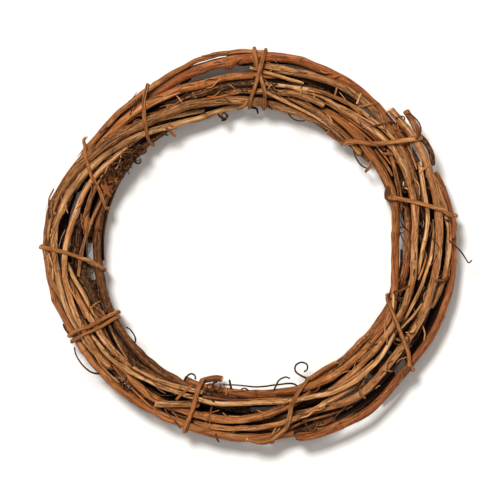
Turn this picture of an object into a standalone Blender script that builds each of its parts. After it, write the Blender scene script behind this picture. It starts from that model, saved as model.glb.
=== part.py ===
"""A grapevine wreath, lying flat: long woody canes laid round a ring and bound by ten thin vines.

Each cane is a route of stations (angle in degrees, radius in mm, depth from 0 on the bundle's upper
face to 1 on its underside). The canes are then spaced clear of each other, and each tie is drawn
tight round the bundle where it crosses it.
"""
import math

import bmesh
import bpy
import numpy as np

# Driving dimensions, in millimetres and degrees
MM = 0.001
BUNDLE_RADIUS = 126.5
BUNDLE_HALF_WIDTH = 23.5
BUNDLE_MID_HEIGHT = 19.5
BUNDLE_HALF_HEIGHT = 14.5
TIE_ROOM = 5.2
CANE_GAP = 0.5
TIE_GAP = 0.85
TIE_TURN = 21
SLICES = 80
STEP = 360.0 / SLICES
CANE_SIDES = 6
THIN_SIDES = 5
THIN_BELOW = 4.3
TENDRIL_SIDES = 3
TENDRIL_BELOW = 2.5
SPACING_ROUNDS = 900
SPACING_PACE = np.array((0.12, 0.34))
TIE_SAMPLE = 0.7
TIE_STATION_RUN = 11
SHORTEST_LAST_RUN = 2
ROOT_SHIFT = np.array((0.31, 0.12, 0.23))
FOOT_ANGLES = (27.0, 148.5, 265.5)
# The middle of the bounding box, seen from the middle of the ring
CENTRE = (3.580, 2.490)

BARKS = {
    "orange": ((0.42, 0.17, 0.06), 0.62),
    "red": ((0.30, 0.10, 0.045), 0.6),
    "tan": ((0.50, 0.27, 0.12), 0.65),
    "pale": ((0.58, 0.34, 0.16), 0.62),
    "grey": ((0.33, 0.21, 0.12), 0.85),
    "brown": ((0.24, 0.11, 0.05), 0.75),
    "dark": ((0.14, 0.07, 0.04), 0.85),
    "tie": ((0.28, 0.13, 0.06), 0.7),
}
TIE_BARK = "tie"

# Canes: bark, thickness at the first station, thickness at the last, stations
CANES = {
    "outer_right_cane": ("red", 4.2, 7.0, (
        (24, 146, .45), (20, 147.5, .4), (12, 149, .35), (0, 149, .35), (-10, 149, .33),
        (-20, 148, .33), (-30, 145.5, .36), (-38, 143, .4), (-45, 145, .33), (-55, 146.5, .3),
        (-65, 144, .28), (-72, 142, .25), (-77.5, 140.5, .25))),
    "tan_right_cane": ("tan", 5.6, 5.8, (
        (45, 143, .25), (38, 143.5, .15), (30, 143, .12), (20, 141.5, .1), (10, 139, .1),
        (0, 136.5, .1), (-10, 135.5, .1), (-20, 134, .1), (-30, 132, .12), (-40, 131, .12),
        (-50, 133.5, .12), (-57, 132, .15), (-63, 128, .2), (-70, 125, .3), (-80, 124, .5),
        (-100, 124, .7), (-120, 129, .8), (-140, 130, .85))),
    "thick_top_cane": ("red", 7.0, 6.6, (
        (152, 127, .7), (140, 128.5, .6), (130, 130.5, .5), (120, 133, .36), (110, 136, .22),
        (100, 137, .14), (92, 139, .12), (85, 141.2, .15), (75, 141.8, .2), (65, 141, .2),
        (55, 140.5, .2), (48, 139.5, .2), (40, 137, .25), (30, 136, .4), (20, 133, .5),
        (10, 131, .55), (0, 128.5, .6), (-20, 127, .65), (-38, 126, .7))),
    "outer_left_cane": ("orange", 6.6, 3.6, (
        (300, 138, .5), (290, 137.5, .45), (282, 137.5, .35), (275, 137.8, .22), (265, 138, .22),
        (255, 136.5, .2), (245, 136, .2), (236, 138, .22), (225, 139.5, .2), (215, 141.5, .22),
        (205, 141.5, .25), (195, 145.5, .3), (185, 147.5, .35), (178, 146.5, .42), (170, 144, .45),
        (164, 142, .42), (158, 141, .3), (150, 138.5, .22), (145, 137.2, .15), (130, 137.2, .12),
        (120, 138, .12), (110, 141, .18), (105, 143, .22), (100, 143.8, .27), (90, 144.2, .33),
        (84, 143, .45))),
    "shaggy_cane": ("grey", 7.6, 5.8, (
        (212, 132, .6), (200, 138, .5), (190, 144.5, .42), (183, 148.2, .28), (175, 148.8, .2),
        (169, 147.5, .18), (164, 145.5, .14), (160, 143, .1), (155, 138.7, .06), (150, 134.7, .05),
        (145, 131, .05), (140, 127.4, .05), (135, 123.2, .06), (130, 119.5, .14), (120, 116, .15),
        (110, 113, .16), (100, 110.8, .2), (90, 109.6, .25), (82, 107.8, .33), (72, 106.5, .4),
        (60, 106.5, .5), (48, 107, .55), (36, 109, .62))),
    "orange_upper_cane": ("orange", 8.0, 3.8, (
        (166, 135, .6), (156, 134.5, .35), (148, 133, .2), (140, 131.8, .12), (130, 130.7, .08),
        (120, 128, .05), (110, 125.6, .05), (103, 125.6, .08), (95, 126.3, .12), (86, 127.2, .18),
        (78, 128, .3), (70, 129.5, .38), (60, 132, .42), (50, 133, .5))),
    "streaked_cane": ("grey", 6.0, 4.6, (
        (90, 134.5, .45), (86, 133.5, .25), (82, 132.3, .12), (76, 131.8, .08), (70, 133.6, .08),
        (65, 136, .08), (60, 137.3, .12), (52, 137, .25), (45, 135.5, .22), (40, 133.7, .14),
        (34, 132, .18), (28, 131, .25), (18, 129.5, .4), (5, 128, .5))),
    "pale_cane": ("pale", 5.0, 4.4, (
        (222, 133.5, .35), (212, 136, .2), (205, 138, .14), (195, 140.5, .14), (188, 142.3, .16),
        (181, 144.5, .25), (176, 144, .2), (171, 142.5, .12), (165, 140, .07), (160, 136.8, .02),
        (155, 132.8, 0), (150, 128.1, 0), (145, 124.1, 0), (140, 120.9, 0), (135, 117.2, .02),
        (130, 113, .08), (125, 109, .14), (120, 105.2, .22), (115, 103, .32), (110, 102.6, .36),
        (105, 103.2, .38), (101, 104.4, .4), (95, 106, .5), (88, 108, .58))),
    "tan_left_cane": ("tan", 4.4, 3.8, (
        (224, 133, .35), (215, 135, .16), (205, 135.5, .1), (195, 136.2, .1), (185, 136.5, .08),
        (180, 134.7, .08), (175, 132.5, .05), (170, 130.7, .05), (165, 129.2, .05),
        (160, 127.8, .05), (155, 125.2, .08), (150, 122, .08), (145, 118.3, .1), (140, 115.8, .12),
        (133, 114, .2), (126, 114.5, .33), (116, 116, .45))),
    "tan_middle_cane": ("tan", 4.8, 5.0, (
        (86, 123.5, .5), (76, 122, .42), (68, 120.5, .28), (60, 119.8, .1), (55, 121.2, .08),
        (50, 122.7, .05), (45, 124.1, .05), (40, 126, .04), (35, 128.1, .05), (30, 127.8, .08),
        (20, 126, .1), (15, 124.1, .08), (10, 122, .05), (5, 120, .05), (0, 119.2, .05),
        (-10, 120.5, .03), (-20, 120.2, .03), (-25, 119.8, .05), (-30, 118.3, .1),
        (-35, 117.2, .15), (-45, 116.5, .22), (-58, 117, .28), (-70, 119, .4), (-82, 121, .55))),
    "orange_inner_cane": ("orange", 6.6, 5.0, (
        (78, 111.5, .5), (68, 113.3, .35), (60, 114.3, .14), (50, 114, .1), (45, 112.5, .1),
        (40, 111.4, .14), (30, 112, .2), (20, 112.3, .22), (15, 110.7, .25), (10, 108.9, .27),
        (5, 107.4, .3), (0, 106.7, .3), (-6, 106.7, .3), (-10, 107.6, .25), (-15, 109.2, .2),
        (-18, 111.2, .15), (-22, 114, .15), (-30, 114.3, .2), (-38, 112.8, .2), (-50, 112.5, .2),
        (-60, 112.1, .22), (-65, 111, .22), (-70, 109.6, .25), (-80, 107.4, .3), (-90, 106.7, .3),
        (-100, 106.7, .32), (-108, 108, .4), (-118, 110, .5))),
    "brown_inner_cane": ("brown", 5.2, 5.6, (
        (22, 119, .45), (10, 116.5, .33), (0, 114.4, .2), (-10, 113.6, .13), (-15, 112.8, .2),
        (-20, 110.3, .3), (-25, 108.5, .35), (-35, 107, .36), (-45, 105.7, .36), (-53, 106.3, .38),
        (-62, 107.5, .45), (-72, 109, .55), (-85, 111, .65))),
    "orange_lower_cane": ("orange", 5.4, 6.2, (
        (306, 112, .5), (296, 113, .35), (290, 114.5, .2), (285, 117, .1), (280, 119, .07),
        (275, 121, .04), (270, 122.7, .03), (265, 124.9, .02), (260, 126.2, .02), (256, 126, .03),
        (250, 125.5, .08), (245, 127, .18), (240, 129, .15), (235, 128.5, .1), (230, 127.4, .1),
        (225, 126.3, .12), (220, 125.2, .16), (214, 123.5, .3), (205, 120.5, .5), (195, 120, .6))),
    "pale_lower_cane": ("pale", 3.6, 3.6, (
        (346, 117, .45), (338, 118, .3), (332, 119.5, .18), (327, 121.8, .08), (320, 123, .03),
        (310, 122.7, .03), (303, 122, .03), (298, 120, .03), (294, 118, .03), (290, 116.2, .05),
        (285, 114.7, .12), (280, 113.3, .16), (272, 112.5, .16), (265, 113.3, .16),
        (258, 114.8, .15), (250, 116.2, .2), (244, 116.5, .12), (240, 117.6, .05),
        (235, 119.8, .03), (230, 122.2, .02), (225, 126, .02), (220, 128.6, .04),
        (215, 130.3, .05), (210, 132.1, .1), (203, 133, .25), (196, 133, .4))),
    "tan_lower_cane": ("tan", 4.0, 4.0, (
        (314, 128.5, .45), (306, 126.5, .3), (300, 125, .2), (295, 125.5, .1), (290, 127, .06),
        (285, 128.5, .07), (280, 130, .1), (272, 131.2, .15), (262, 132.7, .2), (255, 133.4, .25),
        (248, 133, .32), (238, 133, .42), (228, 134, .5))),
    "brown_left_cane": ("brown", 6.4, 4.6, (
        (266, 109.5, .6), (256, 109.5, .45), (248, 109.3, .33), (240, 108.9, .25), (230, 109.6, .22),
        (220, 111, .2), (210, 112.5, .2), (200, 112.5, .22), (190, 111.8, .3), (180, 111.8, .3),
        (170, 112.1, .3), (162, 112.3, .3), (155, 110.3, .36), (150, 108.5, .4), (144, 108.9, .42),
        (136, 108, .42), (128, 106.5, .45), (120, 106, .5), (112, 106.5, .52), (104, 106.5, .55),
        (94, 108, .62))),
    "dark_cane": ("dark", 8.0, 5.6, (
        (217, 119, .48), (208, 119.8, .42), (200, 120.5, .32), (195, 121.2, .26), (190, 123.4, .24),
        (185, 126, .26), (180, 127, .3), (172, 125, .36), (165, 123.4, .4), (158, 121, .48),
        (150, 119, .5), (140, 119, .48), (130, 121.2, .35), (120, 120.5, .2), (110, 119.8, .15),
        (100, 120.5, .13), (92, 121.2, .16), (84, 120.5, .28), (76, 118.5, .45), (66, 118, .55))),
    "tan_stub_cane": ("tan", 4.6, 4.6, (
        (112, 118, .45), (106, 116, .3), (100, 115, .24), (92, 115.4, .16), (84, 115, .12),
        (78, 116, .07), (72, 117.4, .06), (63, 117.3, .08))),
    "tan_inner_cane": ("tan", 4.4, 4.4, (
        (92, 111, .4), (86, 112, .3), (80, 113.3, .13), (75, 114, .1), (70, 114, .1),
        (65, 113, .12), (60, 110.8, .2), (54, 109.5, .28), (48, 108.5, .35), (40, 107.5, .45))),
    "pale_thin_cane_top": ("pale", 2.6, 2.4, (
        (87, 117.5, .1), (84, 114.7, .05), (80, 112.2, .05), (75, 110.4, .1), (70, 108.9, .14),
        (65, 108.2, .16), (60, 107.5, .18), (54, 106.5, .24), (48, 106, .35))),
    "pale_thin_cane_upper": ("pale", 2.8, 2.8, (
        (88, 120.5, .25), (83, 121.2, .12), (78, 121.6, .08), (70, 124, .06), (65, 126.3, .05),
        (60, 127.4, .05), (52, 128.5, .05), (45, 130.3, .06), (40, 131.4, .07), (35, 131.5, .14))),
    "pale_short_cane": ("pale", 2.4, 2.4, (
        (90, 131.5, .2), (86, 129.5, .05), (82, 127.8, .04), (78, 126.7, .05), (73, 125.9, .1),
        (68, 125.5, .3))),
    "orange_thin_lower_cane": ("orange", 2.4, 2.4, (
        (288, 112, .35), (280, 110.4, .3), (272, 109.9, .28), (264, 110.4, .28), (256, 111.9, .28),
        (250, 113, .38))),
    "second_right_cane": ("tan", 3.6, 3.6, (
        (27, 143.5, .5), (20, 145.3, .34), (12, 146, .26), (0, 145.5, .22), (-5, 144.8, .2),
        (-9, 143, .22), (-12, 140.5, .35), (-18, 139, .5))),
    "pale_thin_cane_right": ("pale", 2.4, 2.4, (
        (9, 136.5, .16), (4, 135.5, .05), (0, 133.6, .03), (-5, 131.4, .03), (-10, 129, .03),
        (-15, 126.7, .04), (-20, 124.5, .06), (-24, 123.4, .16), (-28, 122.5, .3))),
    "crossing_thin_cane": ("orange", 2.4, 2.4, (
        (8, 122.5, .25), (3, 124.5, .14), (0, 126.3, .12), (-5, 129, .14), (-9, 131.4, .16),
        (-13, 133.5, .3))),
    "bent_right_shoot": ("pale", 3.2, 3.0, (
        (31, 140, .14), (27, 138.5, .06), (24, 135, .05), (21, 132.5, .05), (18, 134.2, .05),
        (15, 134.2, .03), (10, 131.4, .03), (5, 128.5, .04), (0, 125.2, .07), (-5, 124, .16),
        (-13, 123.5, .3))),
    "slanting_thin_cane": ("tan", 3.0, 3.0, (
        (40, 125, .35), (35, 123.4, .13), (30, 121.2, .1), (25, 118.3, .1), (20, 115.8, .13),
        (16, 113.8, .3), (11, 112.5, .45))),
    "bent_left_shoot": ("pale", 3.4, 3.2, (
        (214, 124.5, .35), (208, 123, .18), (204, 122.5, .1), (200, 122.8, .08), (195, 124.5, .05),
        (190, 128.5, .03), (186, 132.5, .06), (181, 135.5, .25))),
    "tan_left_upper_cane": ("tan", 4.4, 4.2, (
        (226, 124.5, .3), (221, 125, .14), (215, 126.3, .09), (210, 126.7, .08), (204, 127, .1),
        (200, 128.5, .09), (195, 131.4, .09), (190, 133.8, .16), (184, 134.5, .35),
        (178, 134.5, .45))),
    "pale_pair_cane": ("pale", 3.2, 3.2, (
        (252, 110.5, .38), (246, 112, .2), (240, 114.3, .06), (235, 116.5, .06), (231, 119, .08),
        (227, 121.5, .16), (221, 122.5, .3))),
    "thin_left_shoot": ("tan", 2.4, 2.4, (
        (189, 127.5, .12), (185, 124.8, .1), (180, 122.5, .1), (175, 119.8, .1), (170, 116.5, .1),
        (165, 114.3, .14), (160, 113.5, .22), (155, 113.5, .35))),
    "tan_short_left_cane": ("tan", 3.4, 3.4, (
        (178, 121, .35), (170, 121.3, .16), (165, 122.3, .12), (160, 122.3, .12), (156, 121, .2),
        (150, 119.5, .4))),
    "dark_thin_lower_cane": ("dark", 3.0, 3.0, (
        (240, 121.5, .38), (232, 119.5, .25), (225, 118.2, .2), (218, 117.5, .2), (212, 117, .28),
        (205, 116, .42))),
    "pale_cane_upper_left": ("pale", 3.2, 3.2, (
        (134, 122.5, .3), (129, 119.5, .08), (125, 115.5, .06), (120, 111.3, .07), (115, 108, .12),
        (111, 105.8, .24), (105, 105, .42))),
    "cut_shoot_lower_left": ("tan", 4.6, 4.6, (
        (252, 121, .4), (247, 124, .12), (243, 127.5, .03), (239.5, 132, .02), (236, 136.3, .03))),
    "under_inner_cane": ("brown", 6.4, 6.0, (
        (352, 109, .92), (330, 112, .92), (315, 113, .92), (275, 111.5, .92), (225, 113, .9),
        (200, 112, .92), (185, 111, .92), (165, 112, .92), (135, 112, .92), (90, 113.5, .92),
        (45, 113, .92), (20, 111, .92), (5, 107.5, .95))),
    "under_middle_cane": ("dark", 6.8, 6.8, (
        (337, 123, 1), (315, 121.5, 1), (290, 125, 1), (277, 123.5, 1), (265, 123, 1),
        (225, 122, 1), (200, 122.5, 1), (185, 123.5, 1), (165, 122, 1), (148, 122, 1),
        (90, 122, 1), (60, 122, 1), (27, 122, 1), (-9, 122, 1))),
    "under_outer_cane": ("brown", 6.6, 6.2, (
        (320, 139.5, .95), (300, 139, .95), (285, 138, .95), (270, 136, .95), (250, 135, .95),
        (227, 138.5, .95), (210, 138, .95), (190, 137, .95), (175, 139, .95), (166, 139.5, .95),
        (150, 136, .95), (130, 134, .95), (108, 138, .95), (90, 138.5, .95), (78, 141.5, .95),
        (65, 141, .95), (50, 139, .95), (38, 137, .95), (28, 136.5, .95), (14, 137, .95),
        (5, 140, .95), (-5, 142.5, .95), (-19, 142.5, .95), (-30, 141, .95), (-37, 140, .95))),
    "inside_outer_cane": ("red", 6.0, 5.6, (
        (402, 131, .72), (390, 134, .7), (360, 134, .7), (345, 134, .7), (325, 135, .7),
        (307, 134.5, .68), (290, 133, .68), (270, 133, .66), (250, 132, .7), (227, 128.5, .72),
        (205, 133, .72), (180, 137, .7), (166, 137, .7), (150, 133, .72), (130, 130, .74),
        (108, 126, .74), (90, 126, .72), (78, 130, .7), (65, 128, .7), (55, 127.5, .7))),
    "inside_inner_cane": ("brown", 5.6, 5.6, (
        (324, 115, .68), (300, 113, .66), (275, 112, .68), (250, 113, .7), (225, 114, .62),
        (200, 112.5, .66), (185, 111.5, .68), (170, 113, .7), (135, 114, .7), (90, 115, .62),
        (45, 117, .62), (20, 117, .62), (5, 117, .64), (-20, 115, .68))),
}

# Ties: thickness, angles where they pass under the bundle's middle (first, between turns, last), and
# each turn's upper strand as (angle, radius), from the ring's outside in
TIES = {
    "tie_top": (3.2, (88.2, 84.9, 90.4), (
        ((88.9, 146), (87.8, 137), (86.2, 125), (85.2, 116), (84.2, 107)),
        ((85.6, 147), (86.4, 135), (87.6, 124), (89.2, 113), (90, 107)))),
    "tie_upper_left": (3.0, (126.7, 128.3), ((
        (122, 142), (125, 135), (127, 129), (129, 123.5), (130, 118.5), (131.5, 113), (133, 107)),)),
    "tie_left_upper": (3.0, (155.2, 156.8), ((
        (148, 143), (151, 138), (153, 132.9), (155, 127.8), (157, 122), (159, 116.2), (164, 109)),)),
    "tie_left": (3.4, (182.8, 184.6), ((
        (179.4, 151), (180.9, 138), (182.3, 127), (183.9, 116.5), (186, 111), (188, 107)),)),
    "tie_lower_left": (3.2, (208.1, 206.4, 204.7), (
        ((207.3, 148), (207.3, 107)), ((205.5, 148), (205.5, 107)))),
    "tie_bottom_left": (4.0, (249.1, 251.1), (((250.4, 142), (250.1, 125), (249.8, 107)),)),
    "tie_bottom": (3.6, (284.4, 286.3), ((
        (276.5, 142), (279.5, 138), (282.2, 130.7), (283.8, 121.8), (286.2, 114.2), (290, 107),
        (294, 103)),)),
    "tie_lower_right": (3.6, (331.9, 333.8), ((
        (323.5, 146), (326.4, 140), (329.3, 130.8), (332.2, 121.5), (334.9, 114.6), (339, 107.3),
        (342, 103)),)),
    "tie_right": (3.6, (13.8, 15.7), ((
        (9, 151), (11, 146), (12.9, 139.3), (14.8, 127.7), (17.5, 118), (20.5, 107)),)),
    "tie_upper_right": (4.2, (42.4, 44.6), ((
        (33, 149), (34.5, 141), (36.5, 133), (38, 125.6), (40, 118.3), (43, 113.3), (45.5, 109.6),
        (47.5, 105), (48.5, 102)),)),
}

# Side growths fused into their cane or tie: parent, thickness at root and tip, points. Each point is
# (angle, radius, height); heights count from the cane's centre at the root, or from the bundle's
# middle height where the parent is a tie
GROWTHS = (
    ("tie_upper_right", 5.2, 4.8, ((33.2, 147.5, 0), (35.5, 151.5, 3), (38.5, 153, 3), (41.5, 154, 2))),
    ("tie_upper_right", 1.6, 1.3, (
        (34, 143, 17), (33.6, 148.5, 17), (34.8, 153.6, 15), (37, 155.6, 13.5), (39.6, 155, 12),
        (40.8, 152.8, 10.5))),
    ("tie_upper_right", 4.0, 3.6, (
        (48.2, 103.5, 8), (50, 101.6, 7), (53, 100.8, 6.5), (56.5, 101.2, 6))),
    ("tie_bottom_left", 4.6, 4.8, ((250.3, 104, -6), (251.5, 99, -6), (255, 96.2, -6), (258, 95.5, -6))),
    ("tie_top", 2.4, 1.8, ((88.8, 104, -6), (87.4, 101, -6), (86.6, 97, -6))),
    ("outer_left_cane", 1.7, 1.3, (
        (220.5, 141.5, 0), (218, 146.4, 2), (215, 148.6, 3), (211.5, 148.8, 2), (209.2, 147, -1))),
    ("second_right_cane", 1.5, 1.2, (
        (2.6, 145.5, 0), (1.4, 148, 7), (-0.5, 153.5, 6), (-2.2, 157, 2), (-3.6, 160, 0),
        (-2.8, 162.5, -2))),
    ("shaggy_cane", 1.6, 1.2, (
        (75, 106.5, 0), (73.5, 102, 1), (71, 100, 2), (68.5, 100.5, 2), (66.8, 102, 0))),
    ("shaggy_cane", 1.7, 1.2, (
        (45, 107.5, 0), (42.5, 103.5, 0), (39, 101.8, 0), (36.5, 102, 0), (34.8, 103.5, -1),
        (33.8, 101, -2))),
    ("pale_cane", 2.2, 1.6, (
        (103.5, 103.5, 0), (103, 100, 1), (101.6, 97.5, 0), (100, 97.6, -1), (99.4, 100, -1))),
    ("orange_inner_cane", 1.7, 1.2, (
        (-70.3, 109.5, 0), (-72.5, 103, 1), (-79, 101, 1), (-87, 100.8, 0), (-95, 99.8, 0),
        (-101.5, 101, 1))),
    ("tie_bottom", 2.0, 1.3, (
        (294, 103, 2), (292, 98, 4), (290.4, 93.5, 4), (291.4, 89.6, 4), (294.2, 89, 4),
        (296.2, 92, 4), (295.4, 95.6, 4), (293.6, 96.2, 4))),
    ("orange_inner_cane", 1.7, 1.3, (
        (-81, 107.5, 0), (-79.4, 102, 4), (-77.5, 98, 5), (-74.5, 97, 5), (-72.8, 99, 4))),
    ("orange_inner_cane", 2.2, 1.8, ((-97, 106.7, 0), (-98, 101.5, 2), (-99, 96.5, 2))),
    ("orange_inner_cane", 1.5, 1.2, (
        (-90, 106.7, 0), (-91, 102.8, 3), (-92.4, 101.7, 3), (-93.8, 103, 2))),
    ("brown_left_cane", 1.8, 1.4, (
        (243.6, 109, 0), (243.8, 103, 1), (245, 100.5, 1), (246.6, 101, 1), (247.3, 103.4, 1))),
    ("brown_left_cane", 1.5, 1.2, (
        (220, 111, 0), (218.4, 106.6, 1), (216, 105.2, 1), (213.5, 105.6, 1), (212.3, 107, 1))),
    ("tie_bottom", 3.4, 3.0, ((294, 103, 6), (298, 101.6, 8), (303, 101.2, 9), (307.5, 102, 9))),
    ("tie_bottom", 3.4, 2.8, (
        (276.8, 141.5, 10), (274, 143.3, 11), (271.5, 142.4, 13), (269, 140.4, 13.8))),
    ("tie_right", 3.4, 2.8, (
        (9.4, 149.5, 11), (7.6, 152.2, 11), (5.4, 151.9, 10), (3.3, 149.8, 8.5))),
    ("tie_lower_right", 3.4, 2.6, ((324.5, 146, 8), (322.5, 147.3, 9), (320.3, 145.8, 8))),
    ("tie_left_upper", 2.6, 2.0, ((148, 144.5, 0), (146.8, 147, 2), (145.4, 146.5, 5))),
    ("tie_lower_left", 2.2, 1.6, ((205, 147, -2), (203.4, 149, -2), (201.8, 149, -1))),
)


def clear_scene():
    for item in list(bpy.data.objects):
        bpy.data.objects.remove(item, do_unlink=True)


def route_on_slices(stations):
    """Radius and depth at each slice that the cane crosses, read off its stations and softened."""
    order = sorted(stations)
    angles = np.array([s[0] for s in order], dtype=float)
    first = math.ceil(angles[0] / STEP)
    last = math.floor(angles[-1] / STEP)
    slices = np.arange(first, last + 1)
    rows = []
    for column in (1, 2):
        line = np.interp(slices * STEP, angles, [s[column] for s in order])
        for _ in range(2):
            line[1:-1] = 0.25 * line[:-2] + 0.5 * line[1:-1] + 0.25 * line[2:]
        rows.append(line)
    return slices, rows[0], rows[1]


def height_from_depth(radius, depth):
    """Height in a rounded bundle: its half height shrinks towards the inner and outer edges."""
    across = np.clip(np.abs(radius - BUNDLE_RADIUS) / BUNDLE_HALF_WIDTH, 0, 1)
    reach = BUNDLE_HALF_HEIGHT * np.sqrt(1 - 0.92 * across ** 2.4)
    return BUNDLE_MID_HEIGHT + reach * (1 - 2 * depth)


def lay_canes():
    """Each cane's wished place on every slice of the ring, before the canes are spaced."""
    count = len(CANES)
    wished = np.zeros((count, SLICES, 2))
    thick = np.zeros((count, SLICES))
    present = np.zeros((count, SLICES), dtype=bool)
    spans = []
    for row, (_, wide_first, wide_last, stations) in enumerate(CANES.values()):
        slices, radius, depth = route_on_slices(stations)
        ends = (wide_last, wide_first) if stations[0][0] > stations[-1][0] else (wide_first, wide_last)
        wide = np.linspace(ends[0], ends[1], len(slices))
        place = slices % SLICES
        wished[row, place, 0] = radius
        wished[row, place, 1] = height_from_depth(radius, depth)
        thick[row, place] = wide / 2
        present[row, place] = True
        spans.append(slices)
    return wished, thick, present, spans


def foot_slices():
    """Slices on which the underside cane dips to the surface, in three groups round the weight."""
    groups = []
    for angle in FOOT_ANGLES:
        middle = round(angle / STEP)
        groups.append([(middle + k) % SLICES for k in range(-1, 2)])
    return groups


def push_apart(place, reach, present):
    """Moves that part every overlapping pair of canes in one set of sections."""
    gap = place[:, None] - place[None]
    far = np.sqrt((gap ** 2).sum(-1)) + 1e-6
    need = reach[:, None] + reach[None] + CANE_GAP - far
    both = present[:, None] & present[None]
    both[np.arange(len(place)), np.arange(len(place))] = False
    need = np.where(both, np.clip(need, 0, None), 0)
    return (gap / far[..., None] * need[..., None]).sum(1)


def space_canes():
    """Spaces the canes: overlapping sections are parted and the shifts are evened along each cane."""
    wished, thick, present, spans = lay_canes()
    shift = np.zeros_like(wished)
    names = list(CANES)
    under = names.index("under_middle_cane")
    floor = thick + TIE_ROOM
    foot_height = thick[under] * math.cos(math.pi / CANE_SIDES)
    for group in foot_slices():
        for k in group:
            floor[under, k] = foot_height[k]
    ahead = present & np.roll(present, -1, 1)
    behind = present & np.roll(present, 1, 1)
    for step in range(SPACING_ROUNDS):
        late = step / SPACING_ROUNDS
        place = wished + shift
        slope = (np.roll(place, -1, 1) - np.roll(place, 1, 1))[..., 0]
        slope /= 2 * math.radians(STEP) * BUNDLE_RADIUS
        slope = np.where(ahead & behind, slope, 0)
        reach = thick * np.sqrt(1 + np.clip(slope, -1, 1) ** 2)
        at_slices = push_apart(place, reach, present)
        middle = 0.5 * (place + np.roll(place, -1, 1))
        between = push_apart(middle, 0.5 * (reach + np.roll(reach, -1, 1)), ahead)
        move = at_slices + 0.5 * between + 0.5 * np.roll(between, 1, 1)
        shift += np.where(present[..., None], move * SPACING_PACE, 0)
        hold = max(0.0, 0.03 * (1 - 1.4 * late))
        shift *= 1 - hold * np.array((1.0, 0.6))
        even = 0.35 * max(0.04, 1 - 1.1 * late)
        for near, side in ((ahead, -1), (behind, 1)):
            other = np.where(near[..., None], np.roll(shift, side, 1), shift)
            shift += 0.5 * even * (other - shift)
        low = floor - (wished[..., 1] + shift[..., 1])
        shift[..., 1] += np.where(present, np.clip(low, 0, None), 0)
        for group in foot_slices():
            for k in group:
                shift[under, k, 1] = foot_height[k] - wished[under, k, 1]
    return wished + shift, thick, present, spans


def new_mesh_object(name, bark, verts, faces):
    """A closed body with its faces outward, smooth but for its sharp edges."""
    mesh = bpy.data.meshes.new(name)
    mesh.from_pydata([tuple(v) for v in verts], [], faces)
    body = bmesh.new()
    body.from_mesh(mesh)
    bmesh.ops.recalc_face_normals(body, faces=body.faces)
    body.to_mesh(mesh)
    body.free()
    mesh.shade_smooth()
    mesh.set_sharp_from_angle(angle=math.radians(50))
    item = bpy.data.objects.new(name, mesh)
    bpy.context.scene.collection.objects.link(item)
    if bark:
        item.data.materials.append(bark_material(bark))
    return item


def bark_material(bark):
    known = bpy.data.materials.get(bark)
    if known:
        return known
    colour, roughness = BARKS[bark]
    material = bpy.data.materials.new(bark)
    material.use_nodes = True
    shader = material.node_tree.nodes["Principled BSDF"]
    shader.inputs["Base Color"].default_value = (*colour, 1)
    shader.inputs["Roughness"].default_value = roughness
    shader.inputs["Metallic"].default_value = 0
    return material


def ring_faces(rings, sides):
    """Faces of a tube made of rings of points, with both ends closed."""
    faces = []
    for ring in range(rings - 1):
        for side in range(sides):
            a = ring * sides + side
            b = ring * sides + (side + 1) % sides
            faces.append((a, b, b + sides, a + sides))
    faces.append(tuple(range(sides)))
    faces.append(tuple(range((rings - 1) * sides, rings * sides)))
    return faces


def cane_object(name, bark, slices, place, thick):
    """A tube whose sections lie in the radial slices, with a flat facet facing down."""
    row = slices % SLICES
    radius = place[row, 0]
    slope = np.gradient(radius) / (math.radians(STEP) * BUNDLE_RADIUS)
    half = thick[row]
    sides = THIN_SIDES if 2 * half.max() < THIN_BELOW else CANE_SIDES
    turn = (np.arange(sides) + 0.5) * 2 * math.pi / sides
    angle = np.radians(slices * STEP)[:, None]
    out = radius[:, None] + (half * np.sqrt(1 + slope ** 2))[:, None] * np.sin(turn)
    up = place[row, 1][:, None] + half[:, None] * np.cos(turn)
    verts = np.stack((out * np.cos(angle), out * np.sin(angle), up), -1).reshape(-1, 3) * MM
    return new_mesh_object(name, bark, verts, ring_faces(len(slices), sides))


def tube(name, bark, points, halves, sides):
    """A tube along a path, its section carried along without twist."""
    path = np.asarray(points, dtype=float)
    tangent = np.gradient(path, axis=0)
    tangent /= np.linalg.norm(tangent, axis=1)[:, None]
    side = np.cross(tangent[0], (0.3, 0.2, 0.93))
    verts = []
    turn = np.arange(sides) * 2 * math.pi / sides
    for point, way, half in zip(path, tangent, halves):
        side = side - way * side.dot(way)
        side /= np.linalg.norm(side)
        other = np.cross(way, side)
        verts.extend(point + half * (math.cos(t) * side + math.sin(t) * other) for t in turn)
    return new_mesh_object(name, bark, np.array(verts) * MM, ring_faces(len(path), sides))


def cane_at(place, thick, present, angle):
    """Every cane's section at one angle round the ring: radius, height, half thickness, slope."""
    where = (angle / STEP) % SLICES
    low = int(math.floor(where)) % SLICES
    high = (low + 1) % SLICES
    part = where - math.floor(where)
    use = present[:, low] & present[:, high]
    centre = (1 - part) * place[use, low] + part * place[use, high]
    slope = (place[use, high, 0] - place[use, low, 0]) / (math.radians(STEP) * centre[:, 0])
    half = (1 - part) * thick[use, low] + part * thick[use, high]
    return centre[:, 0], centre[:, 1], half, slope


def hull_of(points):
    """Convex hull of points in a plane, anticlockwise."""
    order = sorted(set(map(tuple, points)))
    loop = []
    for sweep in (order, order[::-1]):
        start = len(loop)
        for p in sweep:
            while len(loop) - start >= 2:
                a, b = loop[-2], loop[-1]
                if (b[0] - a[0]) * (p[1] - a[1]) - (b[1] - a[1]) * (p[0] - a[0]) > 1e-9:
                    break
                loop.pop()
            loop.append(p)
        loop.pop()
    return np.array(loop)


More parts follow.
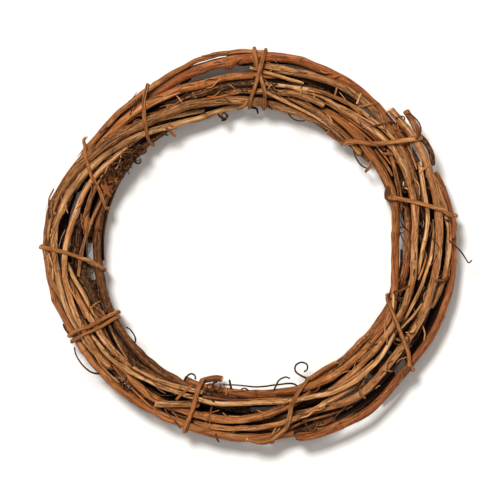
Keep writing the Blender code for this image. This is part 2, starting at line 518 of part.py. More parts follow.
def envelope(place, thick, present, half, angle_of, upper, crossed):
    """Where a tie's centre line just clears the canes, at samples of radius: (radius, height)."""
    found = []
    for radius in np.arange(92.0, 160.0, 0.5):
        angle = angle_of(radius)
        centre, height, wide, slope = cane_at(place, thick, present, angle)
        reach = wide + half + TIE_GAP
        off = (radius - centre) / np.sqrt(1 + slope ** 2)
        met = np.abs(off) < reach
        if met.any():
            rise = np.sqrt(reach[met] ** 2 - off[met] ** 2)
            found.append((radius, (height[met] + rise).max() if upper else (height[met] - rise).min()))
        for path, other_half in crossed:
            near = np.hypot(path[:, 0] - radius, np.radians(path[:, 1] - angle) * radius)
            close = near < other_half + half + TIE_GAP
            if close.any():
                rise = np.sqrt((other_half + half + TIE_GAP) ** 2 - near[close] ** 2)
                level = path[close, 2]
                level = (level + rise).max() if upper else (level - rise).min()
                if (level > BUNDLE_MID_HEIGHT) == upper:
                    found.append((radius, level))
    return found


def tie_path(place, thick, present, half, below, strands):
    """A vine drawn tight round the bundle, turn after turn, from under its middle and back to it."""
    pieces = []
    for turn, strand in enumerate(strands):
        radii = np.array([s[1] for s in strand][::-1], dtype=float)
        angles = np.array([s[0] for s in strand][::-1], dtype=float)
        line = (radii[0], BUNDLE_RADIUS - 0.01, BUNDLE_RADIUS, radii[-1])
        line_angles = (angles[0], below[turn + 1], below[turn], angles[-1])

        def over(radius, radii=radii, angles=angles):
            return float(np.interp(radius, radii, angles))

        def under(radius, line=line, line_angles=line_angles):
            return float(np.interp(radius, line, line_angles))

        before = [(thin_out(p), half) for p in pieces]
        top = envelope(place, thick, present, half, over, True, before)
        base = envelope(place, thick, present, half, under, False, [])
        loop = hull_of(top + base)
        low = np.abs(loop[:, 0] - BUNDLE_RADIUS) + np.where(loop[:, 1] < BUNDLE_MID_HEIGHT, 0, 1e3)
        loop = np.roll(loop, -np.argmin(low), axis=0)
        loop = np.vstack([loop, loop[:1]])
        run = np.concatenate(([0], np.cumsum(np.hypot(*np.diff(loop, axis=0).T))))
        samples = np.linspace(0, run[-1], int(run[-1] / TIE_SAMPLE))
        radius = np.interp(samples, run, loop[:, 0])
        height = np.interp(samples, run, loop[:, 1])
        outer = samples < run[-1] / 2
        below_angle = np.where(
            outer, np.interp(radius, (BUNDLE_RADIUS, radii[-1]), (below[turn], angles[-1])),
            np.interp(radius, (radii[0], BUNDLE_RADIUS), (angles[0], below[turn + 1])))
        angle = np.where(height > BUNDLE_MID_HEIGHT, np.interp(radius, radii, angles), below_angle)
        pieces.append(np.stack((radius, angle, height), -1)[turn > 0:])
    return thin_out(np.vstack(pieces))


def thin_out(path):
    """Keeps the stations that a bend needs: one for so much turn, or for so long a run."""
    flat = np.stack((path[:, 0], np.radians(path[:, 1]) * BUNDLE_RADIUS, path[:, 2]), -1)
    way = np.gradient(flat, axis=0)
    way /= np.linalg.norm(way, axis=1)[:, None]
    kept = [0]
    for k in range(1, len(path) - 1):
        turned = math.degrees(math.acos(np.clip(way[k] @ way[kept[-1]], -1, 1)))
        if turned > TIE_TURN or np.linalg.norm(flat[k] - flat[kept[-1]]) > TIE_STATION_RUN:
            kept.append(k)
    if np.linalg.norm(flat[-1] - flat[kept[-1]]) < SHORTEST_LAST_RUN:
        kept.pop()
    kept.append(len(path) - 1)
    return path[kept]


def to_space(path):
    """From radius, angle and height to a place in space."""
    path = np.asarray(path, dtype=float)
    turn = np.radians(path[:, 1])
    return np.stack((path[:, 0] * np.cos(turn), path[:, 0] * np.sin(turn), path[:, 2]), -1)


def soft_curve(points, spacing):
    """A smooth curve through a few points, by Catmull-Rom pieces, sampled at about one spacing."""
    points = np.asarray(points, dtype=float)
    ends = np.vstack([2 * points[0] - points[1], points, 2 * points[-1] - points[-2]])
    made = [points[0]]
    for k in range(1, len(ends) - 2):
        a, b, c, d = ends[k - 1:k + 3]
        pieces = max(1, round(np.linalg.norm(c - b) / spacing))
        for t in np.arange(1, pieces + 1) / pieces:
            made.append(0.5 * (2 * b + (c - a) * t + (2 * a - 5 * b + 4 * c - d) * t ** 2
                               + (3 * b - a - 3 * c + d) * t ** 3))
    return np.array(made)


def root_of(parent, angle, radius, lift, solved, tie_paths):
    """The place on the parent's centre line where a growth leaves it: radius, angle and height."""
    place, _, _, _ = solved
    if parent in tie_paths:
        path = tie_paths[parent]
        off = np.hypot(path[:, 0] - radius, np.radians(path[:, 1] - angle) * radius)
        return path[np.argmin(np.hypot(off, path[:, 2] - BUNDLE_MID_HEIGHT - lift))] + ROOT_SHIFT
    row = list(CANES).index(parent)
    where = (angle / STEP) % SLICES
    low = int(where) % SLICES
    part = where - math.floor(where)
    centre = (1 - part) * place[row, low] + part * place[row, (low + 1) % SLICES]
    return np.array((centre[0], angle, centre[1]))


def fuse(base, growths):
    """Joins the side growths to what they grow from as one body."""
    group = bpy.data.collections.new(base.name + "_growths")
    for item in growths:
        bpy.context.scene.collection.objects.unlink(item)
        group.objects.link(item)
    bpy.context.scene.collection.children.link(group)
    join = base.modifiers.new("join", "BOOLEAN")
    join.operation = "UNION"
    join.operand_type = "COLLECTION"
    join.collection = group
    join.solver = "EXACT"
    with bpy.context.temp_override(object=base, active_object=base, selected_objects=[base]):
        bpy.ops.object.modifier_apply(modifier=join.name)
    for item in growths:
        bpy.data.objects.remove(item, do_unlink=True)
    bpy.data.collections.remove(group)


def build_wreath():
    clear_scene()
    solved = space_canes()
    place, thick, present, spans = solved
    objects = {}
    for row, (name, (bark, _, _, _)) in enumerate(CANES.items()):
        objects[name] = cane_object(name, bark, spans[row], place[row], thick[row])
    tie_paths = {}
    for name, (wide, below, strands) in TIES.items():
        path = tie_path(place, thick, present, wide / 2, below, strands)
        tie_paths[name] = path
        halves = np.full(len(path), wide / 2)
        objects[name] = tube(name, TIE_BARK, to_space(path), halves, THIN_SIDES)
    growths = {}
    for count, (parent, root, tip, points) in enumerate(GROWTHS):
        start = root_of(parent, *points[0], solved, tie_paths)
        level = BUNDLE_MID_HEIGHT if parent in tie_paths else start[2]
        raised = [start] + [(r, a, level + h) for a, r, h in points[1:]]
        curve = soft_curve(to_space(raised), max(3.0, 1.6 * root))
        sides = THIN_SIDES if root > TENDRIL_BELOW else TENDRIL_SIDES
        halves = np.linspace(root, tip, len(curve)) / 2
        growths.setdefault(parent, []).append(tube(f"growth_{count}", None, curve, halves, sides))
    for parent, made in growths.items():
        fuse(objects[parent], made)
    for item in objects.values():
        for vertex in item.data.vertices:
            vertex.co.x -= CENTRE[0] * MM
            vertex.co.y -= CENTRE[1] * MM
    return objects, solved, tie_paths


build_wreath()
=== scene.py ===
"""Looks of a grapevine wreath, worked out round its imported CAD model.

Every cane is laid and spaced by the CAD's own rule, then carried as a fine bark surface along its
line; ties, side growths and loose bark follow the same lines. Twigs and curled shreds lie on the
bundle, and old dry stems fill its hollows and its height.
"""
import math

import bpy
import numpy as np
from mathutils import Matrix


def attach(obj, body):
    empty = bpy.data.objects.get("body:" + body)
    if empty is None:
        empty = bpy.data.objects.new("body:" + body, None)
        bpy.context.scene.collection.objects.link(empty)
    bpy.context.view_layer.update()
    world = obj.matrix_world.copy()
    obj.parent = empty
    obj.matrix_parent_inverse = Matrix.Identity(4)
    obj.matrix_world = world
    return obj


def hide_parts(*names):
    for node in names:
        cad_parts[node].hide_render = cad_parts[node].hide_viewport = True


# Driving dimensions, in millimetres and degrees
MM = 0.001
BUNDLE_RADIUS = 126.5
BUNDLE_HALF_WIDTH = 23.5
BUNDLE_MID_HEIGHT = 19.5
BUNDLE_HALF_HEIGHT = 14.5
TIE_ROOM = 5.2
CANE_GAP = 0.5
TIE_GAP = 0.85
TIE_TURN = 21
SLICES = 80
STEP = 360.0 / SLICES
CANE_SIDES = 6
TENDRIL_BELOW = 2.5
SPACING_ROUNDS = 900
SPACING_PACE = np.array((0.12, 0.34))
TIE_SAMPLE = 0.7
TIE_STATION_RUN = 11
SHORTEST_LAST_RUN = 2
ROOT_SHIFT = np.array((0.31, 0.12, 0.23))
FOOT_ANGLES = (27.0, 148.5, 265.5)
# The middle of the bounding box, seen from the middle of the ring
CENTRE = (3.580, 2.490)
TIE_BARK = "tie"

# The view and the light, in metres and degrees
FRAME_WIDTH = 0.3652
CAMERA_POINT = (-0.0036, -0.0032)
CAMERA_HEIGHT = 6.0
LEVEL_IN_FOCUS = 0.025
FLOOR = 4.0
SKY_STRENGTH = 0.5
KEY_STRENGTH = 3.0
KEY_SOFTNESS = 14.0
KEY_ELEVATION = 66.0
KEY_AZIMUTH = 121.0
SENSOR_WIDTH = 36
SKY_COLOUR = (1.0, 0.95, 0.89)
KEY_COLOUR = (1.0, 0.985, 0.96)
FLOOR_COLOUR = (0.93, 0.92, 0.91)
FLOOR_ROUGHNESS = 0.9

# How far the ties and their tails are drawn in, and the share of the CAD's thickness that ties and
# tendrils keep
TIE_PULL = 1.25
TIE_TAIL_PULL = 1.8
TIE_THINNER = 0.86

# Painted shade in the grooves between canes and how far it reaches; painted shade in the pits, the
# share of a half turn at which it starts and the share over which it grows
CREVICE_SHADE = 0.95
CREVICE_REACH = 1.2
PIT_SHADE = 0.85
PIT_FROM = 0.40
PIT_RANGE = 0.35

# How many times a stem is tried that fills the bundle's height
FILLING_STEMS = 150

# Where each group's random draws start
SEEDS = {"canes": 100, "ties": 300, "curls": 500, "growths": 700, "twigs": 900, "shreds": 41,
         "hollows": 61, "filling": 83}

# Facets round a section, how far apart its rings are in mm, and the way that a small piece faces
CANE_FACETS = 24
HIDDEN_FACETS = 16
TIE_FACETS = 20
TWIG_FACETS = 8
STRIP_FACETS = 6
CANE_RINGS = 1.1
HIDDEN_RINGS = 2.0
ASLANT = (0.3, 0.2, 0.93)
TUCKED = ("tuck", "tuck")

# A cane's own shape, in mm: how far apart its nodes come, how far it bends at them, how far it
# wanders sideways and up, and the share of the CAD's thickness that it starts from under its bark
NODE_RUNS = (40, 75)
NODE_BEND = 0.3
WANDER_ASIDE = 0.13
WANDER_UP = 0.12
UNDER_BARK = 0.985
FINE_STEPS = 9

# The radii in mm between which hollows are looked for, and how many stems are tried in them
HOLLOWS_FROM = 100
HOLLOWS_TO = 156
OLD_STEMS = 400

# Canes: bark, thickness at the first station, thickness at the last, stations
CANES = {
    "outer_right_cane": ("red", 4.2, 7.0, (
        (24, 146, .45), (20, 147.5, .4), (12, 149, .35), (0, 149, .35), (-10, 149, .33),
        (-20, 148, .33), (-30, 145.5, .36), (-38, 143, .4), (-45, 145, .33), (-55, 146.5, .3),
        (-65, 144, .28), (-72, 142, .25), (-77.5, 140.5, .25))),
    "tan_right_cane": ("tan", 5.6, 5.8, (
        (45, 143, .25), (38, 143.5, .15), (30, 143, .12), (20, 141.5, .1), (10, 139, .1),
        (0, 136.5, .1), (-10, 135.5, .1), (-20, 134, .1), (-30, 132, .12), (-40, 131, .12),
        (-50, 133.5, .12), (-57, 132, .15), (-63, 128, .2), (-70, 125, .3), (-80, 124, .5),
        (-100, 124, .7), (-120, 129, .8), (-140, 130, .85))),
    "thick_top_cane": ("red", 7.0, 6.6, (
        (152, 127, .7), (140, 128.5, .6), (130, 130.5, .5), (120, 133, .36), (110, 136, .22),
        (100, 137, .14), (92, 139, .12), (85, 141.2, .15), (75, 141.8, .2), (65, 141, .2),
        (55, 140.5, .2), (48, 139.5, .2), (40, 137, .25), (30, 136, .4), (20, 133, .5),
        (10, 131, .55), (0, 128.5, .6), (-20, 127, .65), (-38, 126, .7))),
    "outer_left_cane": ("orange", 6.6, 3.6, (
        (300, 138, .5), (290, 137.5, .45), (282, 137.5, .35), (275, 137.8, .22), (265, 138, .22),
        (255, 136.5, .2), (245, 136, .2), (236, 138, .22), (225, 139.5, .2), (215, 141.5, .22),
        (205, 141.5, .25), (195, 145.5, .3), (185, 147.5, .35), (178, 146.5, .42), (170, 144, .45),
        (164, 142, .42), (158, 141, .3), (150, 138.5, .22), (145, 137.2, .15), (130, 137.2, .12),
        (120, 138, .12), (110, 141, .18), (105, 143, .22), (100, 143.8, .27), (90, 144.2, .33),
        (84, 143, .45))),
    "shaggy_cane": ("grey", 7.6, 5.8, (
        (212, 132, .6), (200, 138, .5), (190, 144.5, .42), (183, 148.2, .28), (175, 148.8, .2),
        (169, 147.5, .18), (164, 145.5, .14), (160, 143, .1), (155, 138.7, .06), (150, 134.7, .05),
        (145, 131, .05), (140, 127.4, .05), (135, 123.2, .06), (130, 119.5, .14), (120, 116, .15),
        (110, 113, .16), (100, 110.8, .2), (90, 109.6, .25), (82, 107.8, .33), (72, 106.5, .4),
        (60, 106.5, .5), (48, 107, .55), (36, 109, .62))),
    "orange_upper_cane": ("orange", 8.0, 3.8, (
        (166, 135, .6), (156, 134.5, .35), (148, 133, .2), (140, 131.8, .12), (130, 130.7, .08),
        (120, 128, .05), (110, 125.6, .05), (103, 125.6, .08), (95, 126.3, .12), (86, 127.2, .18),
        (78, 128, .3), (70, 129.5, .38), (60, 132, .42), (50, 133, .5))),
    "streaked_cane": ("grey", 6.0, 4.6, (
        (90, 134.5, .45), (86, 133.5, .25), (82, 132.3, .12), (76, 131.8, .08), (70, 133.6, .08),
        (65, 136, .08), (60, 137.3, .12), (52, 137, .25), (45, 135.5, .22), (40, 133.7, .14),
        (34, 132, .18), (28, 131, .25), (18, 129.5, .4), (5, 128, .5))),
    "pale_cane": ("pale", 5.0, 4.4, (
        (222, 133.5, .35), (212, 136, .2), (205, 138, .14), (195, 140.5, .14), (188, 142.3, .16),
        (181, 144.5, .25), (176, 144, .2), (171, 142.5, .12), (165, 140, .07), (160, 136.8, .02),
        (155, 132.8, 0), (150, 128.1, 0), (145, 124.1, 0), (140, 120.9, 0), (135, 117.2, .02),
        (130, 113, .08), (125, 109, .14), (120, 105.2, .22), (115, 103, .32), (110, 102.6, .36),
        (105, 103.2, .38), (101, 104.4, .4), (95, 106, .5), (88, 108, .58))),
    "tan_left_cane": ("tan", 4.4, 3.8, (
        (224, 133, .35), (215, 135, .16), (205, 135.5, .1), (195, 136.2, .1), (185, 136.5, .08),
        (180, 134.7, .08), (175, 132.5, .05), (170, 130.7, .05), (165, 129.2, .05),
        (160, 127.8, .05), (155, 125.2, .08), (150, 122, .08), (145, 118.3, .1), (140, 115.8, .12),
        (133, 114, .2), (126, 114.5, .33), (116, 116, .45))),
    "tan_middle_cane": ("tan", 4.8, 5.0, (
        (86, 123.5, .5), (76, 122, .42), (68, 120.5, .28), (60, 119.8, .1), (55, 121.2, .08),
        (50, 122.7, .05), (45, 124.1, .05), (40, 126, .04), (35, 128.1, .05), (30, 127.8, .08),
        (20, 126, .1), (15, 124.1, .08), (10, 122, .05), (5, 120, .05), (0, 119.2, .05),
        (-10, 120.5, .03), (-20, 120.2, .03), (-25, 119.8, .05), (-30, 118.3, .1),
        (-35, 117.2, .15), (-45, 116.5, .22), (-58, 117, .28), (-70, 119, .4), (-82, 121, .55))),
    "orange_inner_cane": ("orange", 6.6, 5.0, (
        (78, 111.5, .5), (68, 113.3, .35), (60, 114.3, .14), (50, 114, .1), (45, 112.5, .1),
        (40, 111.4, .14), (30, 112, .2), (20, 112.3, .22), (15, 110.7, .25), (10, 108.9, .27),
        (5, 107.4, .3), (0, 106.7, .3), (-6, 106.7, .3), (-10, 107.6, .25), (-15, 109.2, .2),
        (-18, 111.2, .15), (-22, 114, .15), (-30, 114.3, .2), (-38, 112.8, .2), (-50, 112.5, .2),
        (-60, 112.1, .22), (-65, 111, .22), (-70, 109.6, .25), (-80, 107.4, .3), (-90, 106.7, .3),
        (-100, 106.7, .32), (-108, 108, .4), (-118, 110, .5))),
    "brown_inner_cane": ("brown", 5.2, 5.6, (
        (22, 119, .45), (10, 116.5, .33), (0, 114.4, .2), (-10, 113.6, .13), (-15, 112.8, .2),
        (-20, 110.3, .3), (-25, 108.5, .35), (-35, 107, .36), (-45, 105.7, .36), (-53, 106.3, .38),
        (-62, 107.5, .45), (-72, 109, .55), (-85, 111, .65))),
    "orange_lower_cane": ("orange", 5.4, 6.2, (
        (306, 112, .5), (296, 113, .35), (290, 114.5, .2), (285, 117, .1), (280, 119, .07),
        (275, 121, .04), (270, 122.7, .03), (265, 124.9, .02), (260, 126.2, .02), (256, 126, .03),
        (250, 125.5, .08), (245, 127, .18), (240, 129, .15), (235, 128.5, .1), (230, 127.4, .1),
        (225, 126.3, .12), (220, 125.2, .16), (214, 123.5, .3), (205, 120.5, .5), (195, 120, .6))),
    "pale_lower_cane": ("pale", 3.6, 3.6, (
        (346, 117, .45), (338, 118, .3), (332, 119.5, .18), (327, 121.8, .08), (320, 123, .03),
        (310, 122.7, .03), (303, 122, .03), (298, 120, .03), (294, 118, .03), (290, 116.2, .05),
        (285, 114.7, .12), (280, 113.3, .16), (272, 112.5, .16), (265, 113.3, .16),
        (258, 114.8, .15), (250, 116.2, .2), (244, 116.5, .12), (240, 117.6, .05),
        (235, 119.8, .03), (230, 122.2, .02), (225, 126, .02), (220, 128.6, .04),
        (215, 130.3, .05), (210, 132.1, .1), (203, 133, .25), (196, 133, .4))),
    "tan_lower_cane": ("tan", 4.0, 4.0, (
        (314, 128.5, .45), (306, 126.5, .3), (300, 125, .2), (295, 125.5, .1), (290, 127, .06),
        (285, 128.5, .07), (280, 130, .1), (272, 131.2, .15), (262, 132.7, .2), (255, 133.4, .25),
        (248, 133, .32), (238, 133, .42), (228, 134, .5))),
    "brown_left_cane": ("brown", 6.4, 4.6, (
        (266, 109.5, .6), (256, 109.5, .45), (248, 109.3, .33), (240, 108.9, .25), (230, 109.6, .22),
        (220, 111, .2), (210, 112.5, .2), (200, 112.5, .22), (190, 111.8, .3), (180, 111.8, .3),
        (170, 112.1, .3), (162, 112.3, .3), (155, 110.3, .36), (150, 108.5, .4), (144, 108.9, .42),
        (136, 108, .42), (128, 106.5, .45), (120, 106, .5), (112, 106.5, .52), (104, 106.5, .55),
        (94, 108, .62))),
    "dark_cane": ("dark", 8.0, 5.6, (
        (217, 119, .48), (208, 119.8, .42), (200, 120.5, .32), (195, 121.2, .26), (190, 123.4, .24),
        (185, 126, .26), (180, 127, .3), (172, 125, .36), (165, 123.4, .4), (158, 121, .48),
        (150, 119, .5), (140, 119, .48), (130, 121.2, .35), (120, 120.5, .2), (110, 119.8, .15),
        (100, 120.5, .13), (92, 121.2, .16), (84, 120.5, .28), (76, 118.5, .45), (66, 118, .55))),
    "tan_stub_cane": ("tan", 4.6, 4.6, (
        (112, 118, .45), (106, 116, .3), (100, 115, .24), (92, 115.4, .16), (84, 115, .12),
        (78, 116, .07), (72, 117.4, .06), (63, 117.3, .08))),
    "tan_inner_cane": ("tan", 4.4, 4.4, (
        (92, 111, .4), (86, 112, .3), (80, 113.3, .13), (75, 114, .1), (70, 114, .1),
        (65, 113, .12), (60, 110.8, .2), (54, 109.5, .28), (48, 108.5, .35), (40, 107.5, .45))),
    "pale_thin_cane_top": ("pale", 2.6, 2.4, (
        (87, 117.5, .1), (84, 114.7, .05), (80, 112.2, .05), (75, 110.4, .1), (70, 108.9, .14),
        (65, 108.2, .16), (60, 107.5, .18), (54, 106.5, .24), (48, 106, .35))),
    "pale_thin_cane_upper": ("pale", 2.8, 2.8, (
        (88, 120.5, .25), (83, 121.2, .12), (78, 121.6, .08), (70, 124, .06), (65, 126.3, .05),
        (60, 127.4, .05), (52, 128.5, .05), (45, 130.3, .06), (40, 131.4, .07), (35, 131.5, .14))),
    "pale_short_cane": ("pale", 2.4, 2.4, (
        (90, 131.5, .2), (86, 129.5, .05), (82, 127.8, .04), (78, 126.7, .05), (73, 125.9, .1),
        (68, 125.5, .3))),
    "orange_thin_lower_cane": ("orange", 2.4, 2.4, (
        (288, 112, .35), (280, 110.4, .3), (272, 109.9, .28), (264, 110.4, .28), (256, 111.9, .28),
        (250, 113, .38))),
    "second_right_cane": ("tan", 3.6, 3.6, (
        (27, 143.5, .5), (20, 145.3, .34), (12, 146, .26), (0, 145.5, .22), (-5, 144.8, .2),
        (-9, 143, .22), (-12, 140.5, .35), (-18, 139, .5))),
    "pale_thin_cane_right": ("pale", 2.4, 2.4, (
        (9, 136.5, .16), (4, 135.5, .05), (0, 133.6, .03), (-5, 131.4, .03), (-10, 129, .03),
        (-15, 126.7, .04), (-20, 124.5, .06), (-24, 123.4, .16), (-28, 122.5, .3))),
    "crossing_thin_cane": ("orange", 2.4, 2.4, (
        (8, 122.5, .25), (3, 124.5, .14), (0, 126.3, .12), (-5, 129, .14), (-9, 131.4, .16),
        (-13, 133.5, .3))),
    "bent_right_shoot": ("pale", 3.2, 3.0, (
        (31, 140, .14), (27, 138.5, .06), (24, 135, .05), (21, 132.5, .05), (18, 134.2, .05),
        (15, 134.2, .03), (10, 131.4, .03), (5, 128.5, .04), (0, 125.2, .07), (-5, 124, .16),
        (-13, 123.5, .3))),
    "slanting_thin_cane": ("tan", 3.0, 3.0, (
        (40, 125, .35), (35, 123.4, .13), (30, 121.2, .1), (25, 118.3, .1), (20, 115.8, .13),
        (16, 113.8, .3), (11, 112.5, .45))),
    "bent_left_shoot": ("pale", 3.4, 3.2, (
        (214, 124.5, .35), (208, 123, .18), (204, 122.5, .1), (200, 122.8, .08), (195, 124.5, .05),
        (190, 128.5, .03), (186, 132.5, .06), (181, 135.5, .25))),
    "tan_left_upper_cane": ("tan", 4.4, 4.2, (
        (226, 124.5, .3), (221, 125, .14), (215, 126.3, .09), (210, 126.7, .08), (204, 127, .1),
        (200, 128.5, .09), (195, 131.4, .09), (190, 133.8, .16), (184, 134.5, .35),
        (178, 134.5, .45))),
    "pale_pair_cane": ("pale", 3.2, 3.2, (
        (252, 110.5, .38), (246, 112, .2), (240, 114.3, .06), (235, 116.5, .06), (231, 119, .08),
        (227, 121.5, .16), (221, 122.5, .3))),
    "thin_left_shoot": ("tan", 2.4, 2.4, (
        (189, 127.5, .12), (185, 124.8, .1), (180, 122.5, .1), (175, 119.8, .1), (170, 116.5, .1),
        (165, 114.3, .14), (160, 113.5, .22), (155, 113.5, .35))),
    "tan_short_left_cane": ("tan", 3.4, 3.4, (
        (178, 121, .35), (170, 121.3, .16), (165, 122.3, .12), (160, 122.3, .12), (156, 121, .2),
        (150, 119.5, .4))),
    "dark_thin_lower_cane": ("dark", 3.0, 3.0, (
        (240, 121.5, .38), (232, 119.5, .25), (225, 118.2, .2), (218, 117.5, .2), (212, 117, .28),
        (205, 116, .42))),
    "pale_cane_upper_left": ("pale", 3.2, 3.2, (
        (134, 122.5, .3), (129, 119.5, .08), (125, 115.5, .06), (120, 111.3, .07), (115, 108, .12),
        (111, 105.8, .24), (105, 105, .42))),
    "cut_shoot_lower_left": ("tan", 4.6, 4.6, (
        (252, 121, .4), (247, 124, .12), (243, 127.5, .03), (239.5, 132, .02), (236, 136.3, .03))),
    # The canes under and inside the bundle mostly take brown and dark barks: partly their own weathered
    # colour, partly painted shade of the bundle's inside.
    "under_inner_cane": ("brown", 6.4, 6.0, (
        (352, 109, .92), (330, 112, .92), (315, 113, .92), (275, 111.5, .92), (225, 113, .9),
        (200, 112, .92), (185, 111, .92), (165, 112, .92), (135, 112, .92), (90, 113.5, .92),
        (45, 113, .92), (20, 111, .92), (5, 107.5, .95))),
    "under_middle_cane": ("dark", 6.8, 6.8, (
        (337, 123, 1), (315, 121.5, 1), (290, 125, 1), (277, 123.5, 1), (265, 123, 1),
        (225, 122, 1), (200, 122.5, 1), (185, 123.5, 1), (165, 122, 1), (148, 122, 1),
        (90, 122, 1), (60, 122, 1), (27, 122, 1), (-9, 122, 1))),
    "under_outer_cane": ("brown", 6.6, 6.2, (
        (320, 139.5, .95), (300, 139, .95), (285, 138, .95), (270, 136, .95), (250, 135, .95),
        (227, 138.5, .95), (210, 138, .95), (190, 137, .95), (175, 139, .95), (166, 139.5, .95),
        (150, 136, .95), (130, 134, .95), (108, 138, .95), (90, 138.5, .95), (78, 141.5, .95),
        (65, 141, .95), (50, 139, .95), (38, 137, .95), (28, 136.5, .95), (14, 137, .95),
        (5, 140, .95), (-5, 142.5, .95), (-19, 142.5, .95), (-30, 141, .95), (-37, 140, .95))),
    "inside_outer_cane": ("red", 6.0, 5.6, (
        (402, 131, .72), (390, 134, .7), (360, 134, .7), (345, 134, .7), (325, 135, .7),
        (307, 134.5, .68), (290, 133, .68), (270, 133, .66), (250, 132, .7), (227, 128.5, .72),
        (205, 133, .72), (180, 137, .7), (166, 137, .7), (150, 133, .72), (130, 130, .74),
        (108, 126, .74), (90, 126, .72), (78, 130, .7), (65, 128, .7), (55, 127.5, .7))),
    "inside_inner_cane": ("brown", 5.6, 5.6, (
        (324, 115, .68), (300, 113, .66), (275, 112, .68), (250, 113, .7), (225, 114, .62),
        (200, 112.5, .66), (185, 111.5, .68), (170, 113, .7), (135, 114, .7), (90, 115, .62),
        (45, 117, .62), (20, 117, .62), (5, 117, .64), (-20, 115, .68))),
}

# Ties: thickness, angles where they pass under the bundle's middle (first, between turns, last), and
# each turn's upper strand as (angle, radius), from the ring's outside in
TIES = {
    "tie_top": (3.2, (88.2, 84.9, 90.4), (
        ((88.9, 146), (87.8, 137), (86.2, 125), (85.2, 116), (84.2, 107)),
        ((85.6, 147), (86.4, 135), (87.6, 124), (89.2, 113), (90, 107)))),
    "tie_upper_left": (3.0, (126.7, 128.3), ((
        (122, 142), (125, 135), (127, 129), (129, 123.5), (130, 118.5), (131.5, 113), (133, 107)),)),
    "tie_left_upper": (3.0, (155.2, 156.8), ((
        (148, 143), (151, 138), (153, 132.9), (155, 127.8), (157, 122), (159, 116.2), (164, 109)),)),
    "tie_left": (3.4, (182.8, 184.6), ((
        (179.4, 151), (180.9, 138), (182.3, 127), (183.9, 116.5), (186, 111), (188, 107)),)),
    "tie_lower_left": (3.2, (208.1, 206.4, 204.7), (
        ((207.3, 148), (207.3, 107)), ((205.5, 148), (205.5, 107)))),
    "tie_bottom_left": (4.0, (249.1, 251.1), (((250.4, 142), (250.1, 125), (249.8, 107)),)),
    "tie_bottom": (3.6, (284.4, 286.3), ((
        (276.5, 142), (279.5, 138), (282.2, 130.7), (283.8, 121.8), (286.2, 114.2), (290, 107),
        (294, 103)),)),
    "tie_lower_right": (3.6, (331.9, 333.8), ((
        (323.5, 146), (326.4, 140), (329.3, 130.8), (332.2, 121.5), (334.9, 114.6), (339, 107.3),
        (342, 103)),)),
    "tie_right": (3.6, (13.8, 15.7), ((
        (9, 151), (11, 146), (12.9, 139.3), (14.8, 127.7), (17.5, 118), (20.5, 107)),)),
    "tie_upper_right": (4.2, (42.4, 44.6), ((
        (33, 149), (34.5, 141), (36.5, 133), (38, 125.6), (40, 118.3), (43, 113.3), (45.5, 109.6),
        (47.5, 105), (48.5, 102)),)),
}

